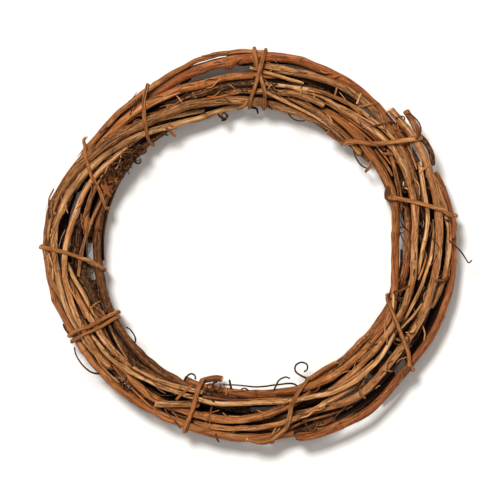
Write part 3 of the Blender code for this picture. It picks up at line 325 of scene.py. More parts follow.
# Side growths fused into their cane or tie: parent, thickness at root and tip, points. Each point is
# (angle, radius, height); heights count from the cane's centre at the root, or from the bundle's
# middle height where the parent is a tie
GROWTHS = (
    ("tie_upper_right", 5.2, 4.8, ((33.2, 147.5, 0), (35.5, 151.5, 3), (38.5, 153, 3), (41.5, 154, 2))),
    ("tie_upper_right", 1.6, 1.3, (
        (34, 143, 17), (33.6, 148.5, 17), (34.8, 153.6, 15), (37, 155.6, 13.5), (39.6, 155, 12),
        (40.8, 152.8, 10.5))),
    ("tie_upper_right", 4.0, 3.6, (
        (48.2, 103.5, 8), (50, 101.6, 7), (53, 100.8, 6.5), (56.5, 101.2, 6))),
    ("tie_bottom_left", 4.6, 4.8, ((250.3, 104, -6), (251.5, 99, -6), (255, 96.2, -6), (258, 95.5, -6))),
    ("tie_top", 2.4, 1.8, ((88.8, 104, -6), (87.4, 101, -6), (86.6, 97, -6))),
    ("outer_left_cane", 1.7, 1.3, (
        (220.5, 141.5, 0), (218, 146.4, 2), (215, 148.6, 3), (211.5, 148.8, 2), (209.2, 147, -1))),
    ("second_right_cane", 1.5, 1.2, (
        (2.6, 145.5, 0), (1.4, 148, 7), (-0.5, 153.5, 6), (-2.2, 157, 2), (-3.6, 160, 0),
        (-2.8, 162.5, -2))),
    ("shaggy_cane", 1.6, 1.2, (
        (75, 106.5, 0), (73.5, 102, 1), (71, 100, 2), (68.5, 100.5, 2), (66.8, 102, 0))),
    ("shaggy_cane", 1.7, 1.2, (
        (45, 107.5, 0), (42.5, 103.5, 0), (39, 101.8, 0), (36.5, 102, 0), (34.8, 103.5, -1),
        (33.8, 101, -2))),
    ("pale_cane", 2.2, 1.6, (
        (103.5, 103.5, 0), (103, 100, 1), (101.6, 97.5, 0), (100, 97.6, -1), (99.4, 100, -1))),
    ("orange_inner_cane", 1.7, 1.2, (
        (-70.3, 109.5, 0), (-72.5, 103, 1), (-79, 101, 1), (-87, 100.8, 0), (-95, 99.8, 0),
        (-101.5, 101, 1))),
    ("tie_bottom", 2.0, 1.3, (
        (294, 103, 2), (292, 98, 4), (290.4, 93.5, 4), (291.4, 89.6, 4), (294.2, 89, 4),
        (296.2, 92, 4), (295.4, 95.6, 4), (293.6, 96.2, 4))),
    ("orange_inner_cane", 1.7, 1.3, (
        (-81, 107.5, 0), (-79.4, 102, 4), (-77.5, 98, 5), (-74.5, 97, 5), (-72.8, 99, 4))),
    ("orange_inner_cane", 2.2, 1.8, ((-97, 106.7, 0), (-98, 101.5, 2), (-99, 96.5, 2))),
    ("orange_inner_cane", 1.5, 1.2, (
        (-90, 106.7, 0), (-91, 102.8, 3), (-92.4, 101.7, 3), (-93.8, 103, 2))),
    ("brown_left_cane", 1.8, 1.4, (
        (243.6, 109, 0), (243.8, 103, 1), (245, 100.5, 1), (246.6, 101, 1), (247.3, 103.4, 1))),
    ("brown_left_cane", 1.5, 1.2, (
        (220, 111, 0), (218.4, 106.6, 1), (216, 105.2, 1), (213.5, 105.6, 1), (212.3, 107, 1))),
    ("tie_bottom", 3.4, 3.0, ((294, 103, 6), (298, 101.6, 8), (303, 101.2, 9), (307.5, 102, 9))),
    ("tie_bottom", 3.4, 2.8, (
        (276.8, 141.5, 10), (274, 143.3, 11), (271.5, 142.4, 13), (269, 140.4, 13.8))),
    ("tie_right", 3.4, 2.8, (
        (9.4, 149.5, 11), (7.6, 152.2, 11), (5.4, 151.9, 10), (3.3, 149.8, 8.5))),
    ("tie_lower_right", 3.4, 2.6, ((324.5, 146, 8), (322.5, 147.3, 9), (320.3, 145.8, 8))),
    ("tie_left_upper", 2.6, 2.0, ((148, 144.5, 0), (146.8, 147, 2), (145.4, 146.5, 5))),
    ("tie_lower_left", 2.2, 1.6, ((205, 147, -2), (203.4, 149, -2), (201.8, 149, -1))),
)


def route_on_slices(stations):
    """Radius and depth at each slice that the cane crosses, read off its stations and softened."""
    order = sorted(stations)
    angles = np.array([s[0] for s in order], dtype=float)
    first = math.ceil(angles[0] / STEP)
    last = math.floor(angles[-1] / STEP)
    slices = np.arange(first, last + 1)
    rows = []
    for column in (1, 2):
        line = np.interp(slices * STEP, angles, [s[column] for s in order])
        for _ in range(2):
            line[1:-1] = 0.25 * line[:-2] + 0.5 * line[1:-1] + 0.25 * line[2:]
        rows.append(line)
    return slices, rows[0], rows[1]


def height_from_depth(radius, depth):
    """Height in a rounded bundle: its half height shrinks towards the inner and outer edges."""
    across = np.clip(np.abs(radius - BUNDLE_RADIUS) / BUNDLE_HALF_WIDTH, 0, 1)
    reach = BUNDLE_HALF_HEIGHT * np.sqrt(1 - 0.92 * across ** 2.4)
    return BUNDLE_MID_HEIGHT + reach * (1 - 2 * depth)


def lay_canes():
    """Each cane's wished place on every slice of the ring, before the canes are spaced."""
    count = len(CANES)
    wished = np.zeros((count, SLICES, 2))
    thick = np.zeros((count, SLICES))
    present = np.zeros((count, SLICES), dtype=bool)
    spans = []
    for row, (_, wide_first, wide_last, stations) in enumerate(CANES.values()):
        slices, radius, depth = route_on_slices(stations)
        ends = (wide_last, wide_first) if stations[0][0] > stations[-1][0] else (wide_first, wide_last)
        wide = np.linspace(ends[0], ends[1], len(slices))
        place = slices % SLICES
        wished[row, place, 0] = radius
        wished[row, place, 1] = height_from_depth(radius, depth)
        thick[row, place] = wide / 2
        present[row, place] = True
        spans.append(slices)
    return wished, thick, present, spans


def foot_slices():
    """Slices on which the underside cane dips to the surface, in three groups round the weight."""
    groups = []
    for angle in FOOT_ANGLES:
        middle = round(angle / STEP)
        groups.append([(middle + k) % SLICES for k in range(-1, 2)])
    return groups


def push_apart(place, reach, present):
    """Moves that part every overlapping pair of canes in one set of sections."""
    gap = place[:, None] - place[None]
    far = np.sqrt((gap ** 2).sum(-1)) + 1e-6
    need = reach[:, None] + reach[None] + CANE_GAP - far
    both = present[:, None] & present[None]
    both[np.arange(len(place)), np.arange(len(place))] = False
    need = np.where(both, np.clip(need, 0, None), 0)
    return (gap / far[..., None] * need[..., None]).sum(1)


def space_canes():
    """Spaces the canes: overlapping sections are parted and the shifts are evened along each cane."""
    wished, thick, present, spans = lay_canes()
    shift = np.zeros_like(wished)
    names = list(CANES)
    under = names.index("under_middle_cane")
    floor = thick + TIE_ROOM
    foot_height = thick[under] * math.cos(math.pi / CANE_SIDES)
    for group in foot_slices():
        for k in group:
            floor[under, k] = foot_height[k]
    ahead = present & np.roll(present, -1, 1)
    behind = present & np.roll(present, 1, 1)
    for step in range(SPACING_ROUNDS):
        late = step / SPACING_ROUNDS
        place = wished + shift
        slope = (np.roll(place, -1, 1) - np.roll(place, 1, 1))[..., 0]
        slope /= 2 * math.radians(STEP) * BUNDLE_RADIUS
        slope = np.where(ahead & behind, slope, 0)
        reach = thick * np.sqrt(1 + np.clip(slope, -1, 1) ** 2)
        at_slices = push_apart(place, reach, present)
        middle = 0.5 * (place + np.roll(place, -1, 1))
        between = push_apart(middle, 0.5 * (reach + np.roll(reach, -1, 1)), ahead)
        move = at_slices + 0.5 * between + 0.5 * np.roll(between, 1, 1)
        shift += np.where(present[..., None], move * SPACING_PACE, 0)
        hold = max(0.0, 0.03 * (1 - 1.4 * late))
        shift *= 1 - hold * np.array((1.0, 0.6))
        even = 0.35 * max(0.04, 1 - 1.1 * late)
        for near, side in ((ahead, -1), (behind, 1)):
            other = np.where(near[..., None], np.roll(shift, side, 1), shift)
            shift += 0.5 * even * (other - shift)
        low = floor - (wished[..., 1] + shift[..., 1])
        shift[..., 1] += np.where(present, np.clip(low, 0, None), 0)
        for group in foot_slices():
            for k in group:
                shift[under, k, 1] = foot_height[k] - wished[under, k, 1]
    return wished + shift, thick, present, spans


def cane_at(place, thick, present, angle):
    """Every cane's section at one angle round the ring: radius, height, half thickness, slope."""
    where = (angle / STEP) % SLICES
    low = int(math.floor(where)) % SLICES
    high = (low + 1) % SLICES
    part = where - math.floor(where)
    use = present[:, low] & present[:, high]
    centre = (1 - part) * place[use, low] + part * place[use, high]
    slope = (place[use, high, 0] - place[use, low, 0]) / (math.radians(STEP) * centre[:, 0])
    half = (1 - part) * thick[use, low] + part * thick[use, high]
    return centre[:, 0], centre[:, 1], half, slope


def hull_of(points):
    """Convex hull of points in a plane, anticlockwise."""
    order = sorted(set(map(tuple, points)))
    loop = []
    for sweep in (order, order[::-1]):
        start = len(loop)
        for p in sweep:
            while len(loop) - start >= 2:
                a, b = loop[-2], loop[-1]
                if (b[0] - a[0]) * (p[1] - a[1]) - (b[1] - a[1]) * (p[0] - a[0]) > 1e-9:
                    break
                loop.pop()
            loop.append(p)
        loop.pop()
    return np.array(loop)


def envelope(place, thick, present, half, angle_of, upper, crossed):
    """Where a tie's centre line just clears the canes, at samples of radius: (radius, height)."""
    found = []
    for radius in np.arange(92.0, 160.0, 0.5):
        angle = angle_of(radius)
        centre, height, wide, slope = cane_at(place, thick, present, angle)
        reach = wide + half + TIE_GAP
        off = (radius - centre) / np.sqrt(1 + slope ** 2)
        met = np.abs(off) < reach
        if met.any():
            rise = np.sqrt(reach[met] ** 2 - off[met] ** 2)
            found.append((radius, (height[met] + rise).max() if upper else (height[met] - rise).min()))
        for path, other_half in crossed:
            near = np.hypot(path[:, 0] - radius, np.radians(path[:, 1] - angle) * radius)
            close = near < other_half + half + TIE_GAP
            if close.any():
                rise = np.sqrt((other_half + half + TIE_GAP) ** 2 - near[close] ** 2)
                level = path[close, 2]
                level = (level + rise).max() if upper else (level - rise).min()
                if (level > BUNDLE_MID_HEIGHT) == upper:
                    found.append((radius, level))
    return found


def tie_path(place, thick, present, half, below, strands):
    """A vine drawn tight round the bundle, turn after turn, from under its middle and back to it."""
    pieces = []
    for turn, strand in enumerate(strands):
        radii = np.array([s[1] for s in strand][::-1], dtype=float)
        angles = np.array([s[0] for s in strand][::-1], dtype=float)
        line = (radii[0], BUNDLE_RADIUS - 0.01, BUNDLE_RADIUS, radii[-1])
        line_angles = (angles[0], below[turn + 1], below[turn], angles[-1])

        def over(radius, radii=radii, angles=angles):
            return float(np.interp(radius, radii, angles))

        def under(radius, line=line, line_angles=line_angles):
            return float(np.interp(radius, line, line_angles))

        before = [(thin_out(p), half) for p in pieces]
        top = envelope(place, thick, present, half, over, True, before)
        base = envelope(place, thick, present, half, under, False, [])
        loop = hull_of(top + base)
        low = np.abs(loop[:, 0] - BUNDLE_RADIUS) + np.where(loop[:, 1] < BUNDLE_MID_HEIGHT, 0, 1e3)
        loop = np.roll(loop, -np.argmin(low), axis=0)
        loop = np.vstack([loop, loop[:1]])
        run = np.concatenate(([0], np.cumsum(np.hypot(*np.diff(loop, axis=0).T))))
        samples = np.linspace(0, run[-1], int(run[-1] / TIE_SAMPLE))
        radius = np.interp(samples, run, loop[:, 0])
        height = np.interp(samples, run, loop[:, 1])
        outer = samples < run[-1] / 2
        below_angle = np.where(
            outer, np.interp(radius, (BUNDLE_RADIUS, radii[-1]), (below[turn], angles[-1])),
            np.interp(radius, (radii[0], BUNDLE_RADIUS), (angles[0], below[turn + 1])))
        angle = np.where(height > BUNDLE_MID_HEIGHT, np.interp(radius, radii, angles), below_angle)
        pieces.append(np.stack((radius, angle, height), -1)[turn > 0:])
    return thin_out(np.vstack(pieces))


def thin_out(path):
    """Keeps the stations that a bend needs: one for so much turn, or for so long a run."""
    flat = np.stack((path[:, 0], np.radians(path[:, 1]) * BUNDLE_RADIUS, path[:, 2]), -1)
    way = unit(np.gradient(flat, axis=0))
    kept = [0]
    for k in range(1, len(path) - 1):
        turned = math.degrees(math.acos(np.clip(way[k] @ way[kept[-1]], -1, 1)))
        if turned > TIE_TURN or np.linalg.norm(flat[k] - flat[kept[-1]]) > TIE_STATION_RUN:
            kept.append(k)
    if np.linalg.norm(flat[-1] - flat[kept[-1]]) < SHORTEST_LAST_RUN:
        kept.pop()
    kept.append(len(path) - 1)
    return path[kept]


def to_space(path):
    """From radius, angle and height to a place in space."""
    path = np.asarray(path, dtype=float)
    turn = np.radians(path[:, 1])
    return np.stack((path[:, 0] * np.cos(turn), path[:, 0] * np.sin(turn), path[:, 2]), -1)


def through_four(a, b, c, d, t):
    """The cubic that runs from b at t = 0, heading along c - a, to c at t = 1, along d - b."""
    return 0.5 * (2 * b + (c - a) * t + (2 * a - 5 * b + 4 * c - d) * t ** 2
                  + (3 * b - a - 3 * c + d) * t ** 3)


def soft_curve(points, spacing):
    """A smooth curve through a few points, by a cubic between each two, sampled at one spacing."""
    points = np.asarray(points, dtype=float)
    ends = np.vstack([2 * points[0] - points[1], points, 2 * points[-1] - points[-2]])
    made = [points[0]]
    for k in range(1, len(ends) - 2):
        a, b, c, d = ends[k - 1:k + 3]
        pieces = max(1, round(np.linalg.norm(c - b) / spacing))
        for t in np.arange(1, pieces + 1) / pieces:
            made.append(through_four(a, b, c, d, t))
    return np.array(made)


def root_of(parent, angle, radius, lift, solved, tie_paths):
    """The place on the parent's centre line where a growth leaves it: radius, angle and height."""
    place, _, _, _ = solved
    if parent in tie_paths:
        path = tie_paths[parent]
        off = np.hypot(path[:, 0] - radius, np.radians(path[:, 1] - angle) * radius)
        return path[np.argmin(np.hypot(off, path[:, 2] - BUNDLE_MID_HEIGHT - lift))] + ROOT_SHIFT
    row = list(CANES).index(parent)
    where = (angle / STEP) % SLICES
    low = int(where) % SLICES
    part = where - math.floor(where)
    centre = (1 - part) * place[row, low] + part * place[row, (low + 1) % SLICES]
    return np.array((centre[0], angle, centre[1]))


def read_smoothly(rows, where):
    """Rows read at fractional places: each reading weights its four nearest rows by cubics in t."""
    last = len(rows) - 1
    low = np.clip(np.floor(where).astype(int), 0, last - 1)
    t = (where - low)[:, None]
    a, b, c, d = (rows[np.clip(low + k, 0, last)] for k in (-1, 0, 1, 2))
    return through_four(a, b, c, d, t)


def runs_along(line):
    """Distance along a line at each of its points."""
    return np.concatenate(([0], np.cumsum(np.linalg.norm(np.diff(line, axis=0), axis=1))))


def read_along(at, run, rows):
    """Rows of three numbers kept along a run, read at other places of it in straight steps."""
    return np.stack([np.interp(at, run, rows[:, k]) for k in range(3)], -1)


def unit(rows):
    """Rows as directions of length one."""
    return rows / np.linalg.norm(rows, axis=1)[:, None]


def closing_rings(kind, half):
    """How a limb closes, from its tip inwards: rows of (run back from the tip, share of the half
    thickness, share of cut face). A cut end is a flat disc with a worn rim, a tucked one is domed."""
    if kind == "cut":
        return np.array(((0.1, 0, 1), (0.06, 0.35, 1), (0.04, 0.7, 1), (0, 0.9, 0.9), (0.3, 1, 0)))
    dome = np.radians((90, 70, 45, 20, 0))
    return np.stack((half * (1 - np.sin(dome)), np.cos(dome), 0 * dome), -1)


def bark_relief(grain, turns, draw, look):
    """Relief of bark, as a share of the half thickness: ridges are sine waves short across the cane
    and long along it, and lumps are slower waves that make the section uneven."""
    waves = 9
    lean = draw.uniform(0, 2 * math.pi, waves)
    across = 2 * math.pi / draw.uniform(1.1, 3.2, waves)
    along = 2 * math.pi / draw.uniform(28, 110, waves) * draw.choice((-1, 1), waves)
    phase = draw.uniform(0, 2 * math.pi, waves)
    swing = grain[..., :1] * (across * np.cos(lean)) + grain[..., 1:2] * (across * np.sin(lean))
    ridges = np.sin(swing + grain[..., 2:] * along + phase).mean(-1) * 1.6
    lumps = 0
    for lobes in (1, 2, 3):
        pitch = 2 * math.pi / draw.uniform(9, 34)
        lumps = lumps + np.sin(lobes * turns + grain[..., 2] * pitch + draw.uniform(0, 6.3)) / lobes
    return look["ridge"] * ridges + look["lump"] * lumps, ridges


def carried_section(line, halves, sides, ends, look, draw, reference=(0, 0, 1), swellings=(),
                    spacing=CANE_RINGS, flat=1.0, slant=0.0, shade=None):
    """A section carried along a line. The point at run v and turn t is line(v) + r (cos t side
    + flat sin t up), where r is the half thickness there times one plus the bark's relief and the
    swellings, and falls to nothing over the closing rings. Returns points, quads, triangles, grain
    (the same place on the straightened cane) and state (worn, darkness, cut); the darkness is the
    bark's own, with any painted shade from shade added to it."""
    run = runs_along(line)
    first = closing_rings(ends[0], halves[0])
    last = closing_rings(ends[1], halves[-1])
    low = first[-1, 0]
    high = run[-1] - last[-1, 0]
    body = np.linspace(low, high, max(4, round((high - low) / spacing)))[1:-1]
    v = np.concatenate((first[:, 0], body, run[-1] - last[::-1, 0]))
    share = np.concatenate((first[:, 1], np.ones(len(body)), last[::-1, 1]))
    cut = np.concatenate((first[:, 2], np.zeros(len(body)), last[::-1, 2]))
    centre = read_along(v, run, line)
    way = unit(read_along(v, run, np.gradient(line, run, axis=0)))
    facing = np.broadcast_to(np.asarray(reference, dtype=float), line.shape)
    side = unit(np.cross(way, read_along(v, run, facing)))
    up = np.cross(side, way)
    half = np.interp(v, run, halves)
    turns = np.arange(sides) * 2 * math.pi / sides
    turns = np.broadcast_to(turns, (len(v), sides))
    grain = np.stack((half[:, None] * np.cos(turns), half[:, None] * np.sin(turns),
                      np.broadcast_to(v[:, None], turns.shape)), -1) + draw.uniform(-90, 90, 3)
    relief, ridges = bark_relief(grain, turns, draw, look)
    dark = np.clip(-ridges, 0, 1) * look["furrow"]
    for at, height, length, facing_turn, spread in swellings:
        along = (v - at)[:, None] / length
        around = (np.mod(turns - facing_turn + math.pi, 2 * math.pi) - math.pi) / spread
        relief = relief + height / half[:, None] * np.exp(-along ** 2 - around ** 2)
        rim = np.exp(-((v - at)[:, None] / 0.7 - 1.2) ** 2)
        dark = dark + 0.4 * rim * np.exp(-(around / 1.3) ** 2)
    reach = (half * share)[:, None] * (1 + relief)
    lean = reach * np.cos(turns + draw.uniform(0, 6.3)) * slant
    edge = np.exp(-(np.minimum(v, run[-1] - v) / (0.8 * half)) ** 2)
    points = (centre[:, None] + (reach * np.cos(turns))[..., None] * side[:, None]
              + (flat * reach * np.sin(turns))[..., None] * up[:, None]
              + (lean * edge[:, None])[..., None] * way[:, None])
    points[..., 2] = np.maximum(points[..., 2], 0)
    worn = np.clip(look["worn"] + 0 * turns, 0, 1)
    dark = dark + look["dark"]
    # Painted shade from shade is added to the bark's own darkness
    if shade:
        dark = dark + shade(points)
    dark = np.clip(dark, 0, 1)
    state = np.stack((worn, dark, np.broadcast_to(cut[:, None], turns.shape)), -1)
    return close_grid(points, grain, state)


def crevice_shade(points, row, solved):
    """Painted shade in the grooves and pits between canes, where shade falls among them. A groove's
    painted shade is darkest where a point touches another cane and clear at CREVICE_REACH from it. A
    pit is painted dark where the canes on both sides rise steeply above the point, which is summed as
    the two steepest angles' share of a half turn. The other canes are circles in section, read
    between their slices."""
    place, thick, present = solved[:3]
    radius = np.hypot(points[..., 0], points[..., 1])
    height = points[..., 2]
    at = np.mod(np.degrees(np.arctan2(points[..., 1], points[..., 0])), 360) / STEP
    low = np.floor(at).astype(int) % SLICES
    high = (low + 1) % SLICES
    t = at - np.floor(at)
    nearest = np.full(radius.shape, 99.0)
    slopes = np.zeros((2, *radius.shape))
    for other in range(len(place)):
        if other == row:
            continue
        mid = place[other, low] * (1 - t)[..., None] + place[other, high] * t[..., None]
        half = thick[other, low] * (1 - t) + thick[other, high] * t
        aside = mid[..., 0] - radius
        there = present[other, low] & present[other, high]
        gap = np.hypot(aside, height - mid[..., 1]) - half
        nearest = np.where(there, np.minimum(nearest, gap), nearest)
        slope = (mid[..., 1] + 0.5 * half - height) / np.maximum(np.abs(aside) - 0.6 * half, 0.2)
        slope = np.where(there, slope, 0)
        slopes[0] = np.maximum(slopes[0], np.where(aside > -0.6 * half, slope, 0))
        slopes[1] = np.maximum(slopes[1], np.where(aside < 0.6 * half, slope, 0))
    closed = np.arctan(slopes).sum(0) / math.pi
    pit = np.clip((closed - PIT_FROM) / PIT_RANGE, 0, 1) * np.clip((height - 5) / 8, 0, 1)
    groove = np.exp(-(np.clip(nearest, 0, None) / CREVICE_REACH) ** 2)
    return CREVICE_SHADE * groove + PIT_SHADE * pit


def close_grid(points, grain, state):
    """Rings of points joined by quads, the first and last ring drawn together into one point each."""
    rings, sides = points.shape[:2]
    order = np.arange(1, 1 + (rings - 2) * sides).reshape(rings - 2, sides)
    after = np.roll(order, -1, 1)
    quads = np.stack((order[:-1], order[1:], after[1:], after[:-1]), -1).reshape(-1, 4)
    tip = 1 + (rings - 2) * sides
    start = np.stack((np.zeros(sides, int), order[0], after[0]), -1)
    finish = np.stack((np.full(sides, tip), after[-1], order[-1]), -1)

    def gather(values):
        first, last = values[0].mean(0)[None], values[-1].mean(0)[None]
        return np.vstack((first, values[1:-1].reshape(-1, 3), last))

    return gather(points), quads, np.vstack((start, finish)), gather(grain), gather(state)


def make_piece(name, surfaces, bark, finishes, tone=0.0, node=None):
    """One mesh object from several closed surfaces, with its grain, state and tone kept on it."""
    counts = np.cumsum([0] + [len(s[0]) for s in surfaces])
    points = np.vstack([s[0] for s in surfaces])
    quads = np.vstack([s[1] + c for s, c in zip(surfaces, counts)])
    threes = np.vstack([s[2] + c for s, c in zip(surfaces, counts)])
    points = (points - (CENTRE[0], CENTRE[1], 0)) * MM
    mesh = bpy.data.meshes.new(name)
    mesh.vertices.add(len(points))
    mesh.vertices.foreach_set("co", points.ravel())
    corners = np.concatenate((quads.ravel(), threes.ravel())).astype(np.int32)
    sizes = np.concatenate((np.full(len(quads), 4), np.full(len(threes), 3)))
    mesh.loops.add(len(corners))
    mesh.loops.foreach_set("vertex_index", corners)
    mesh.polygons.add(len(sizes))
    mesh.polygons.foreach_set("loop_start", (np.cumsum(sizes) - sizes).astype(np.int32))
    mesh.update(calc_edges=True)
    mesh.shade_smooth()
    for label, kind, key, values in (
            ("grain", "FLOAT_VECTOR", "vector", np.vstack([s[3] for s in surfaces])),
            ("state", "FLOAT_VECTOR", "vector", np.vstack([s[4] for s in surfaces])),
            ("tone", "FLOAT", "value", np.full(len(points), tone))):
        mesh.attributes.new(label, kind, "POINT").data.foreach_set(key, values.ravel())
    piece = bpy.data.objects.new(name, mesh)
    bpy.context.scene.collection.objects.link(piece)
    piece.data.materials.append(finishes[bark])
    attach(piece, "root")
    if node:
        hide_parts(node)


class Value:
    """A shader socket in Python sums: each operator adds its Math node to the finish."""

    def __init__(self, finish, socket):
        self.finish = finish
        self.socket = socket

    def maths(self, operation, first, second):
        """One Math node."""
        return self.finish.node("ShaderNodeMath", {"operation": operation}, {0: first, 1: second})

    def __add__(self, other):
        return self.maths("ADD", self, other)

    __radd__ = __add__

    def __sub__(self, other):
        return self.maths("SUBTRACT", self, other)

    def __rsub__(self, other):
        return self.maths("SUBTRACT", other, self)

    def __mul__(self, other):
        return self.maths("MULTIPLY", self, other)

    __rmul__ = __mul__

    def __pow__(self, other):
        return self.maths("POWER", self, other)


class Finish:
    """A material in the making, with one Principled shader."""

    def __init__(self, name):
        self.material = bpy.data.materials.new(name)
        self.material.use_nodes = True
        self.nodes = self.material.node_tree.nodes
        self.links = self.material.node_tree.links
        self.shader = self.nodes["Principled BSDF"]

    def feed(self, socket, value):
        """Links a value to a socket, or sets a number or colour on it."""
        if isinstance(value, Value):
            self.links.new(value.socket, socket)
        elif isinstance(value, tuple) and socket.type == "RGBA":
            socket.default_value = (*value, 1)
        else:
            socket.default_value = value

    def node(self, kind, settings, values, output=0):
        """Any node: its type, its settings, then the values or links of its sockets."""
        made = self.nodes.new(kind)
        for key, value in settings.items():
            setattr(made, key, value)
        for key, value in values.items():
            self.feed(made.inputs[key], value)
        return Value(self, made.outputs[output])

    def kept(self, name, output):
        """A vector or value kept on the mesh's points."""
        return self.node("ShaderNodeAttribute", {"attribute_name": name}, {}, output)

    def split(self, vector):
        """A vector's three parts."""
        made = self.nodes.new("ShaderNodeSeparateXYZ")
        self.feed(made.inputs[0], vector)
        return [Value(self, out) for out in made.outputs]

    def noise(self, vector, scale, detail, rough):
        """A cloudy pattern on the grain, drawn closer on each axis by its scale."""
        vector = self.node("ShaderNodeVectorMath", {"operation": "MULTIPLY"}, {0: vector, 1: scale})
        return self.node("ShaderNodeTexNoise", {}, {
            "Vector": vector, "Scale": 1.0, "Detail": detail, "Roughness": rough})

    def between(self, value, low, high):
        """Nothing below low, one above high, and a soft step from one to the other."""
        return self.node("ShaderNodeMapRange", {"interpolation_type": "SMOOTHSTEP"}, {
            "Value": value, "From Min": low, "From Max": high})

    def mixed(self, share, first, second):
        """From the first colour to the second, by a share."""
        return self.node("ShaderNodeMix", {"data_type": "RGBA"}, {0: share, 6: first, 7: second}, 2)

    def scaled(self, colour, amount):
        """A colour made lighter or darker."""
        return self.node("ShaderNodeVectorMath", {"operation": "SCALE"}, {0: colour, "Scale": amount})


# Patterns in bark, in order fibres, streaks, patches, flecks, cracks and the rings of cut wood: how
# close they come across the cane (twice) and along it, their detail and their roughness
PATTERNS = (
    ((1.3, 1.3, 0.045), 5.0, 0.65), ((0.5, 0.5, 0.02), 3.0, 0.5), ((0.16, 0.16, 0.035), 3.0, 0.6),
    ((1.6, 1.6, 0.35), 3.0, 0.6), ((2.3, 2.3, 0.1), 2.0, 0.5), ((2.2, 2.2, 2.2), 2.0, 0.5),
)
LIGHT_FLAKE = (0.52, 0.29, 0.13)
DARK_FLAKE = (0.035, 0.014, 0.006)
CRACK = (0.04, 0.012, 0.004)
# The dark colour that the state's darkness mixes in: dark bark and painted shade between canes
DARK_BARK_AND_SHADE = (0.030, 0.0065, 0.0016)
CUT_WOOD = ((0.55, 0.33, 0.15), (0.8, 0.58, 0.33))
CONTRAST = 0.5
BRIGHTNESS = 1.99
SHINE = 0.12
BUMP_STRENGTH = 0.85
BUMP_DEPTH = 0.0005


def bark_finish(name, deep, main, light, contrast, roughness):
    """Vine bark: fibres and streaks drawn out along the grain, pale and dark patches, fine dark
    cracks, grey flaking where worn, the state's darkness (the bark's own, with painted shade between
    canes) and pale ringed wood on a cut face."""
    f = Finish(name)
    grain = f.kept("grain", 1)
    worn, dark, cut = f.split(f.kept("state", 1))
    tone = f.kept("tone", 2)
    fibres, streaks, patches, flecks, cracks, rings = (f.noise(grain, *p) for p in PATTERNS)
    colour = f.mixed(f.between(fibres, 0.22, 0.60), deep, main)
    colour = f.mixed(f.between(streaks, 0.5, 0.72) * (0.7 * contrast), colour, light)
    colour = f.mixed(f.between(patches, 0.54, 0.68) * (0.75 * contrast), colour, light)
    colour = f.mixed((1 - f.between(patches, 0.32, 0.46)) * 0.6, colour, deep)
    flakes = f.between(flecks, 0.48, 0.60) * worn
    colour = f.mixed(flakes * 0.75, colour, LIGHT_FLAKE)
    colour = f.mixed((1 - f.between(flecks, 0.34, 0.47)) * worn * 0.85, colour, DARK_FLAKE)
    colour = f.mixed((1 - f.between(cracks, 0.34, 0.44)) * 0.7, colour, CRACK)
    # The state's darkness, the bark's own with painted shade between canes added, mixes in the dark
    # colour
    colour = f.mixed(dark, colour, DARK_BARK_AND_SHADE)
    colour = f.mixed(cut * 0.9, colour, f.mixed(rings, *CUT_WOOD))
    bright = f.node("ShaderNodeRGBToBW", {}, {0: colour})
    colour = f.scaled(colour, (1 + tone) * (bright ** CONTRAST) * BRIGHTNESS)
    f.feed(f.shader.inputs["Base Color"], colour)
    f.feed(f.shader.inputs["Roughness"], roughness + worn * 0.15 - fibres * 0.1)
    f.shader.inputs["Specular IOR Level"].default_value = SHINE
    height = fibres * 0.5 + flecks * (0.2 + worn * 0.8) + f.between(cracks, 0.28, 0.45) * 0.35
    bump = f.node("ShaderNodeBump", {}, {
        "Height": height, "Strength": BUMP_STRENGTH, "Distance": BUMP_DEPTH})
    f.feed(f.shader.inputs["Normal"], bump)
    return f.material


# Barks in the slots' names: deep, main and light colour, contrast, roughness
BARK_LOOKS = {
    "orange": ((0.170, 0.042, 0.010), (0.46, 0.150, 0.036), (0.68, 0.33, 0.135), 0.60, 0.62),
    "red": ((0.120, 0.027, 0.007), (0.35, 0.094, 0.022), (0.54, 0.22, 0.080), 0.50, 0.6),
    "tan": ((0.200, 0.062, 0.015), (0.48, 0.190, 0.060), (0.78, 0.47, 0.24), 0.62, 0.62),
    "pale": ((0.240, 0.088, 0.024), (0.58, 0.280, 0.100), (0.86, 0.57, 0.32), 0.66, 0.6),
    "grey": ((0.150, 0.044, 0.012), (0.43, 0.168, 0.052), (0.70, 0.41, 0.195), 0.62, 0.72),
    "brown": ((0.085, 0.021, 0.006), (0.29, 0.088, 0.023), (0.48, 0.22, 0.080), 0.55, 0.7),
    "dark": ((0.040, 0.011, 0.004), (0.15, 0.047, 0.016), (0.33, 0.15, 0.066), 0.45, 0.8),
    "tie": ((0.150, 0.040, 0.009), (0.42, 0.145, 0.038), (0.66, 0.34, 0.135), 0.65, 0.62),
}

# How each bark is shaped: ridge and lump heights as shares of the half thickness, share of flaking,
# base darkness and darkness of the furrows
BARK_SHAPES = {
    "orange": (0.022, 0.030, 0.10, 0.0, 0.25),
    "red": (0.022, 0.030, 0.15, 0.0, 0.25),
    "tan": (0.035, 0.035, 0.30, 0.0, 0.35),
    "pale": (0.035, 0.035, 0.15, 0.0, 0.30),
    "grey": (0.050, 0.045, 0.32, 0.0, 0.36),
    "brown": (0.045, 0.040, 0.35, 0.05, 0.45),
    "dark": (0.060, 0.050, 0.60, 0.15, 0.55),
    "tie": (0.040, 0.035, 0.20, 0.0, 0.30),
}

# The slot that takes each bark
SLOT_OF = {bark: bark + "_bark" for bark in BARK_LOOKS}

# Node swellings named on single canes: angle, height and length in mm, turn it faces
CANE_NODES = {
    "thick_top_cane": ((96.6, 2.3, 4.5, 3.1),),
    "orange_lower_cane": ((256.0, 0.7, 2.4, 1.6),),
    "orange_upper_cane": ((104.4, 0.6, 1.6, 1.0),),
    "second_right_cane": ((351.0, 0.6, 2.0, 1.6),),
}


